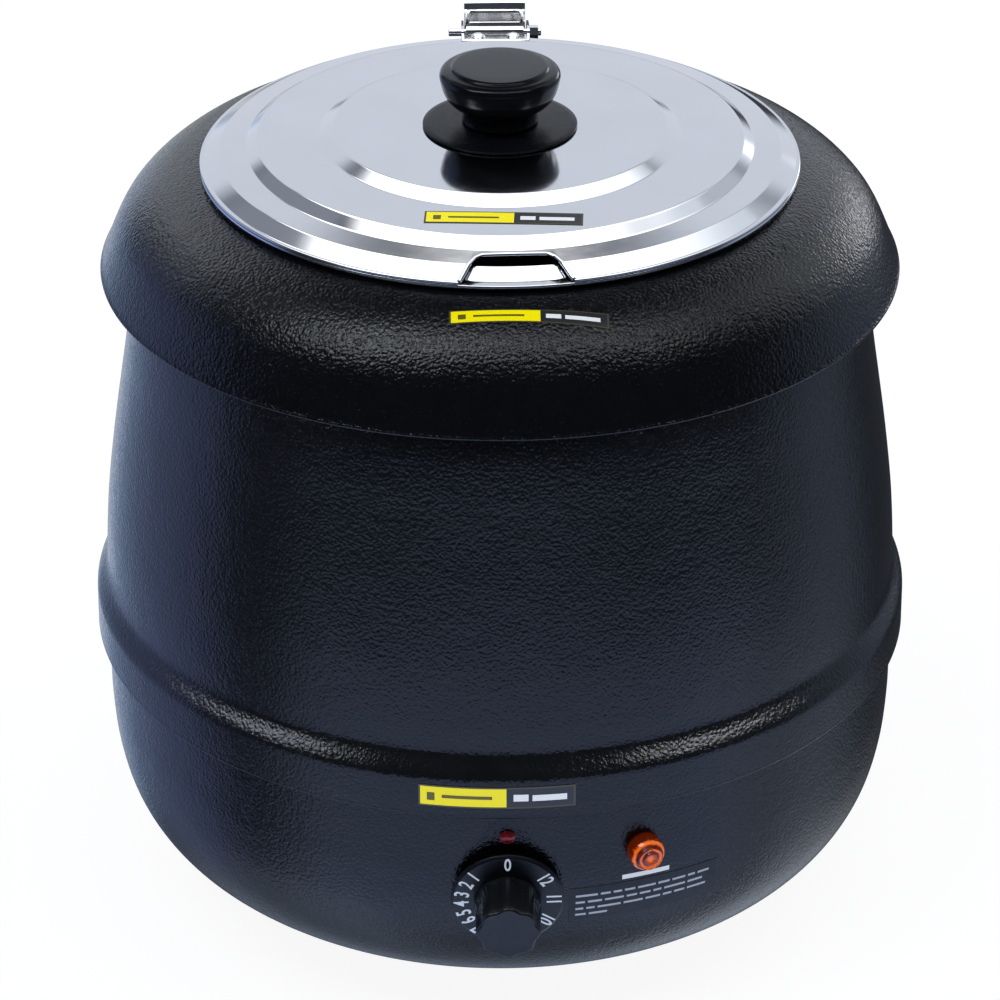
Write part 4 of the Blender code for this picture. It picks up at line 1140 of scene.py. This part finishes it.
def window(value, lo, hi, soft_lo, soft_hi):
    a = ramp(value, lo - soft_lo, lo + soft_lo)
    b = ramp(value, hi - soft_hi, hi + soft_hi)
    return wm("MULTIPLY", a, wm("SUBTRACT", 1.0, b))


def glow(total, weight, color, strength=1.0):
    mix = wn("ShaderNodeVectorMath", operation="SCALE")
    mix.inputs[0].default_value = [c * strength for c in color]
    wt.links.new(weight, mix.inputs["Scale"])
    if total is None:
        return mix.outputs[0]
    s = wn("ShaderNodeVectorMath", operation="ADD")
    wt.links.new(total, s.inputs[0])
    wt.links.new(mix.outputs[0], s.inputs[1])
    return s.outputs[0]


def box_light(az0, az1, sa, el0, el1, se, se2=None):
    return wm("MULTIPLY", window(AZ, az0, az1, sa, sa), window(EL, el0, el1, se, se2 if se2 is not None else se))


ABS = wm("ABSOLUTE", AZ)
one = wm("ADD", wm("MULTIPLY", DZ, 0.0), 1.0)
sky = glow(None, one, (0.041, 0.046, 0.058))
# pale back wall
sky = glow(sky, box_light(-34, 36, 3, -1, 39, 4, 4), (0.74, 0.785, 0.865))
# low left edge light behind the kettle
sky = glow(sky, box_light(-46, -15, 7, -38, 0, 5, 4), (0.36, 0.50, 0.78))
sky = glow(sky, box_light(-24, -6, 5, -34, -4, 4, 3), (0.55, 0.56, 0.55))
# broad cool light from the left
sky = glow(sky, box_light(-91, -47, 9, -46, 20, 10), (0.28, 0.365, 0.71))
# grey gaps beside the back wall
sky = glow(sky, box_light(-66, -35, 5, 17, 56, 5), (0.24, 0.265, 0.31))
sky = glow(sky, box_light(38, 80, 4, 14, 56, 5), (0.56, 0.60, 0.66))
# dim cool floor bounce in front and to the right
round_left = ramp(wm("MULTIPLY", AZ, -1.0), 104, 130)
round_right = ramp(AZ, 92, 114)
floor_sides = wm("MULTIPLY", wm("MAXIMUM", round_left, round_right), window(EL, -60, -16, 12, 3))
floor_front = wm("MULTIPLY", ramp(ABS, 146, 160), window(EL, -60, -12.8, 12, 2.2))
sky = glow(sky, wm("MAXIMUM", floor_sides, floor_front), (0.47, 0.60, 0.94))
sky = glow(sky, box_light(-126, -94, 8, -78, -40, 6), (0.30, 0.36, 0.52))
sky = glow(sky, box_light(58, 94, 9, -46, 14, 10), (0.21, 0.26, 0.37))
sky = glow(sky, box_light(78, 112, 10, -44, -22, 6), (0.22, 0.24, 0.30))
sky = glow(sky, box_light(34, 60, 6, -12, 12, 6), (0.24, 0.27, 0.34))
sky = glow(sky, box_light(29, 47, 4, 0, 13, 3), (3.0, 3.0, 3.1))
sky = glow(sky, box_light(-180, 180, 1, -95, -46, 8), (0.26, 0.32, 0.42))
sky = glow(sky, box_light(20, 80, 10, -70, -38, 8), (0.42, 0.44, 0.48))
# strong narrow strip in front of and above the kettle, on the plane z = 1
UX = wm("DIVIDE", DX, wm("MAXIMUM", DZ, 0.02))
UY = wm("DIVIDE", DY, wm("MAXIMUM", DZ, 0.02))
above = wm("GREATER_THAN", DZ, 0.05)
strip_left = wm("MULTIPLY", above, wm("MULTIPLY", window(UX, -0.95, -0.22, 0.06, 0.10), window(UY, -0.40, -0.16, 0.05, 0.05)))
strip_right = wm("MULTIPLY", above, wm("MULTIPLY", window(UX, -0.22, 0.85, 0.10, 0.06), window(UY, -0.36, -0.20, 0.05, 0.05)))
overhead = wm("MULTIPLY", above, wm("MULTIPLY", window(UX, -0.9, 0.8, 0.1, 0.1), window(UY, -0.16, 0.06, 0.04, 0.06)))
sky = glow(sky, strip_left, (0.96, 1.03, 1.12), 4.6)
sky = glow(sky, strip_right, (0.98, 1.02, 1.08), 3.0)
sky = glow(sky, overhead, (0.95, 1.0, 1.06), 0.75)

bg = wn("ShaderNodeBackground")
wt.links.new(sky, bg.inputs["Color"])
white = wn("ShaderNodeBackground")
white.inputs["Color"].default_value = (1.0, 1.0, 1.0, 1.0)
white.inputs["Strength"].default_value = 1.02
path_node = wn("ShaderNodeLightPath")
pick = wn("ShaderNodeMixShader")
wt.links.new(path_node.outputs["Is Camera Ray"], pick.inputs[0])
wt.links.new(bg.outputs[0], pick.inputs[1])
wt.links.new(white.outputs[0], pick.inputs[2])
out_node = wn("ShaderNodeOutputWorld")
wt.links.new(pick.outputs[0], out_node.inputs["Surface"])

# pale floor
lo, hi = CAD_BOX
mesh = bpy.data.meshes.new("floor")
S = 6.0
mesh.from_pydata([(-S, -S, -0.0006), (S, -S, -0.0006), (S, S, -0.0006), (-S, S, -0.0006)], [], [(0, 1, 2, 3)])
floor = bpy.data.objects.new("floor", mesh)
scene.collection.objects.link(floor)
fm = bpy.data.materials.new("pale_floor")
fm.use_nodes = True
ft = fm.node_tree
ft.nodes.clear()
em = ft.nodes.new("ShaderNodeEmission")
em.inputs["Color"].default_value = (1, 1, 1, 1)
em.inputs["Strength"].default_value = 0.92
df = ft.nodes.new("ShaderNodeBsdfDiffuse")
df.inputs["Color"].default_value = (0.20, 0.20, 0.205, 1)
ad = ft.nodes.new("ShaderNodeAddShader")
fo = ft.nodes.new("ShaderNodeOutputMaterial")
ft.links.new(em.outputs[0], ad.inputs[0])
ft.links.new(df.outputs[0], ad.inputs[1])
ft.links.new(ad.outputs[0], fo.inputs["Surface"])
mesh.materials.append(fm)
floor.visible_glossy = False
floor.visible_diffuse = False


def area(name, location, target, size_x, size_y, power, color, only=None, soft=(0.08, 0.08, 0.08, 0.08), corner=None):
    data = bpy.data.lights.new(name, "AREA")
    data.shape = "RECTANGLE"
    data.size, data.size_y = size_x, size_y
    data.energy = power
    data.color = color
    ob = bpy.data.objects.new(name, data)
    scene.collection.objects.link(ob)
    ob.location = location
    ob.rotation_mode = "QUATERNION"
    ob.rotation_quaternion = (Vector(target) - Vector(location)).to_track_quat("-Z", "Y")
    if soft:
        # fade the panel out towards its edges, as a diffuser does
        data.use_nodes = True
        nt = data.node_tree
        nt.nodes.clear()
        geo = nt.nodes.new("ShaderNodeNewGeometry")
        sp = nt.nodes.new("ShaderNodeSeparateXYZ")
        nt.links.new(geo.outputs["Parametric"], sp.inputs[0])

        def op(kind, a, b):
            n = nt.nodes.new("ShaderNodeMath")
            n.operation = kind
            for i, v in enumerate((a, b)):
                if isinstance(v, bpy.types.NodeSocket):
                    nt.links.new(v, n.inputs[i])
                else:
                    n.inputs[i].default_value = v
            return n.outputs[0]

        u, v = sp.outputs[0], sp.outputs[1]
        sides = [(u, soft[0]), (op("SUBTRACT", 1.0, u), soft[1]), (v, soft[2]), (op("SUBTRACT", 1.0, v), soft[3])]
        if corner is not None:
            # a flag cuts the far right corner off
            sides.append((op("SUBTRACT", 1.0, op("ADD", u, v)), corner))
        total = None
        for away, reach_ in sides:
            n = nt.nodes.new("ShaderNodeMapRange")
            n.interpolation_type = "SMOOTHSTEP"
            nt.links.new(away, n.inputs["Value"])
            n.inputs["From Min"].default_value = 0.0
            n.inputs["From Max"].default_value = reach_
            total = n.outputs["Result"] if total is None else op("MULTIPLY", total, n.outputs["Result"])
        em_ = nt.nodes.new("ShaderNodeEmission")
        nt.links.new(total, em_.inputs["Strength"])
        o_ = nt.nodes.new("ShaderNodeOutputLight")
        nt.links.new(em_.outputs[0], o_.inputs["Surface"])
    if only is not None:
        group = bpy.data.collections.new(name + "_receivers")
        for o in only:
            group.objects.link(o)
        ob.light_linking.receiver_collection = group
    return ob


def radiance(level, w, h):
    """Power that gives a rectangle of w by h metres a given radiance."""
    return level * math.pi * w * h


STEEL_PIECES = [bpy.data.objects[n] for n in ("lid_fine", "lid_notch_hem", "soup_pot_fine")]
HINGE_PIECES = [bpy.data.objects[n] for n in ("hinge_leaf_fine", "hinge_barrel_fine", "lid_hinge_bracket_fine", "bracket_rivet_1_fine", "bracket_rivet_2_fine",
                                              "hinge_pin_fine", "hinge_pin_nut_fine")]
PAINTED = [bpy.data.objects[n] for n in ("collar_skin", "body_skin", "base_bowl_skin")]
top = hi.z + 1.2
area("steel_ceiling", (0.135, 0.48, top), (0.135, 0.48, 0), 2.03, 1.66, radiance(2.4, 2.03, 1.66), (1, 1, 1), STEEL_PIECES, (0.10, 0.50, 0.14, 0.14))
area("steel_ceiling_side", (0.95, 0.48, top + 0.02), (0.95, 0.48, 0), 0.70, 1.60, radiance(0.30, 0.70, 1.60), (0.90, 0.96, 1.0), STEEL_PIECES)


def panel(name, az, el, far, w, h, level, color, only, corner=0.2):
    a, e = math.radians(az), math.radians(el)
    at = Vector((math.sin(a) * math.cos(e), math.cos(a) * math.cos(e), math.sin(e))) * far + Vector((0, 0, 0.3))
    area(name, at, (0, 0, 0.3), w, h, radiance(level, w, h), color, only, (0.2, 0.2, 0.2, 0.2), corner)


panel("left_panel", -56, 38, 2.4, 1.9, 1.3, 1.35, (0.95, 1.0, 1.12), PAINTED)
panel("right_panel", 56, 38, 2.4, 1.7, 1.2, 0.32, (0.95, 1.0, 1.08), PAINTED)
panel("step_glint_right", 118, 27, 2.4, 2.1, 0.80, 7.0, (0.96, 1.0, 1.04), PAINTED[1:2], None)
panel("step_glint_left", -108, 24, 2.4, 2.3, 0.90, 5.0, (0.90, 0.98, 1.10), PAINTED[1:2], None)
area("hinge_sky", (0.0, 0.45, top), (0, 0.13, 0.32), 1.6, 1.9, radiance(1.7, 1.6, 1.9), (1, 1, 1), HINGE_PIECES)

# camera
cam_data = bpy.data.cameras.new("camera")
cam_data.lens = 137.95
cam_data.sensor_width = 36.0
cam = bpy.data.objects.new("camera", cam_data)
scene.collection.objects.link(cam)
cam.location = (-0.02476, -1.41861, 0.94954)
cam.rotation_euler = (math.radians(60.9154), 0.0, math.radians(-1.0))
scene.camera = cam
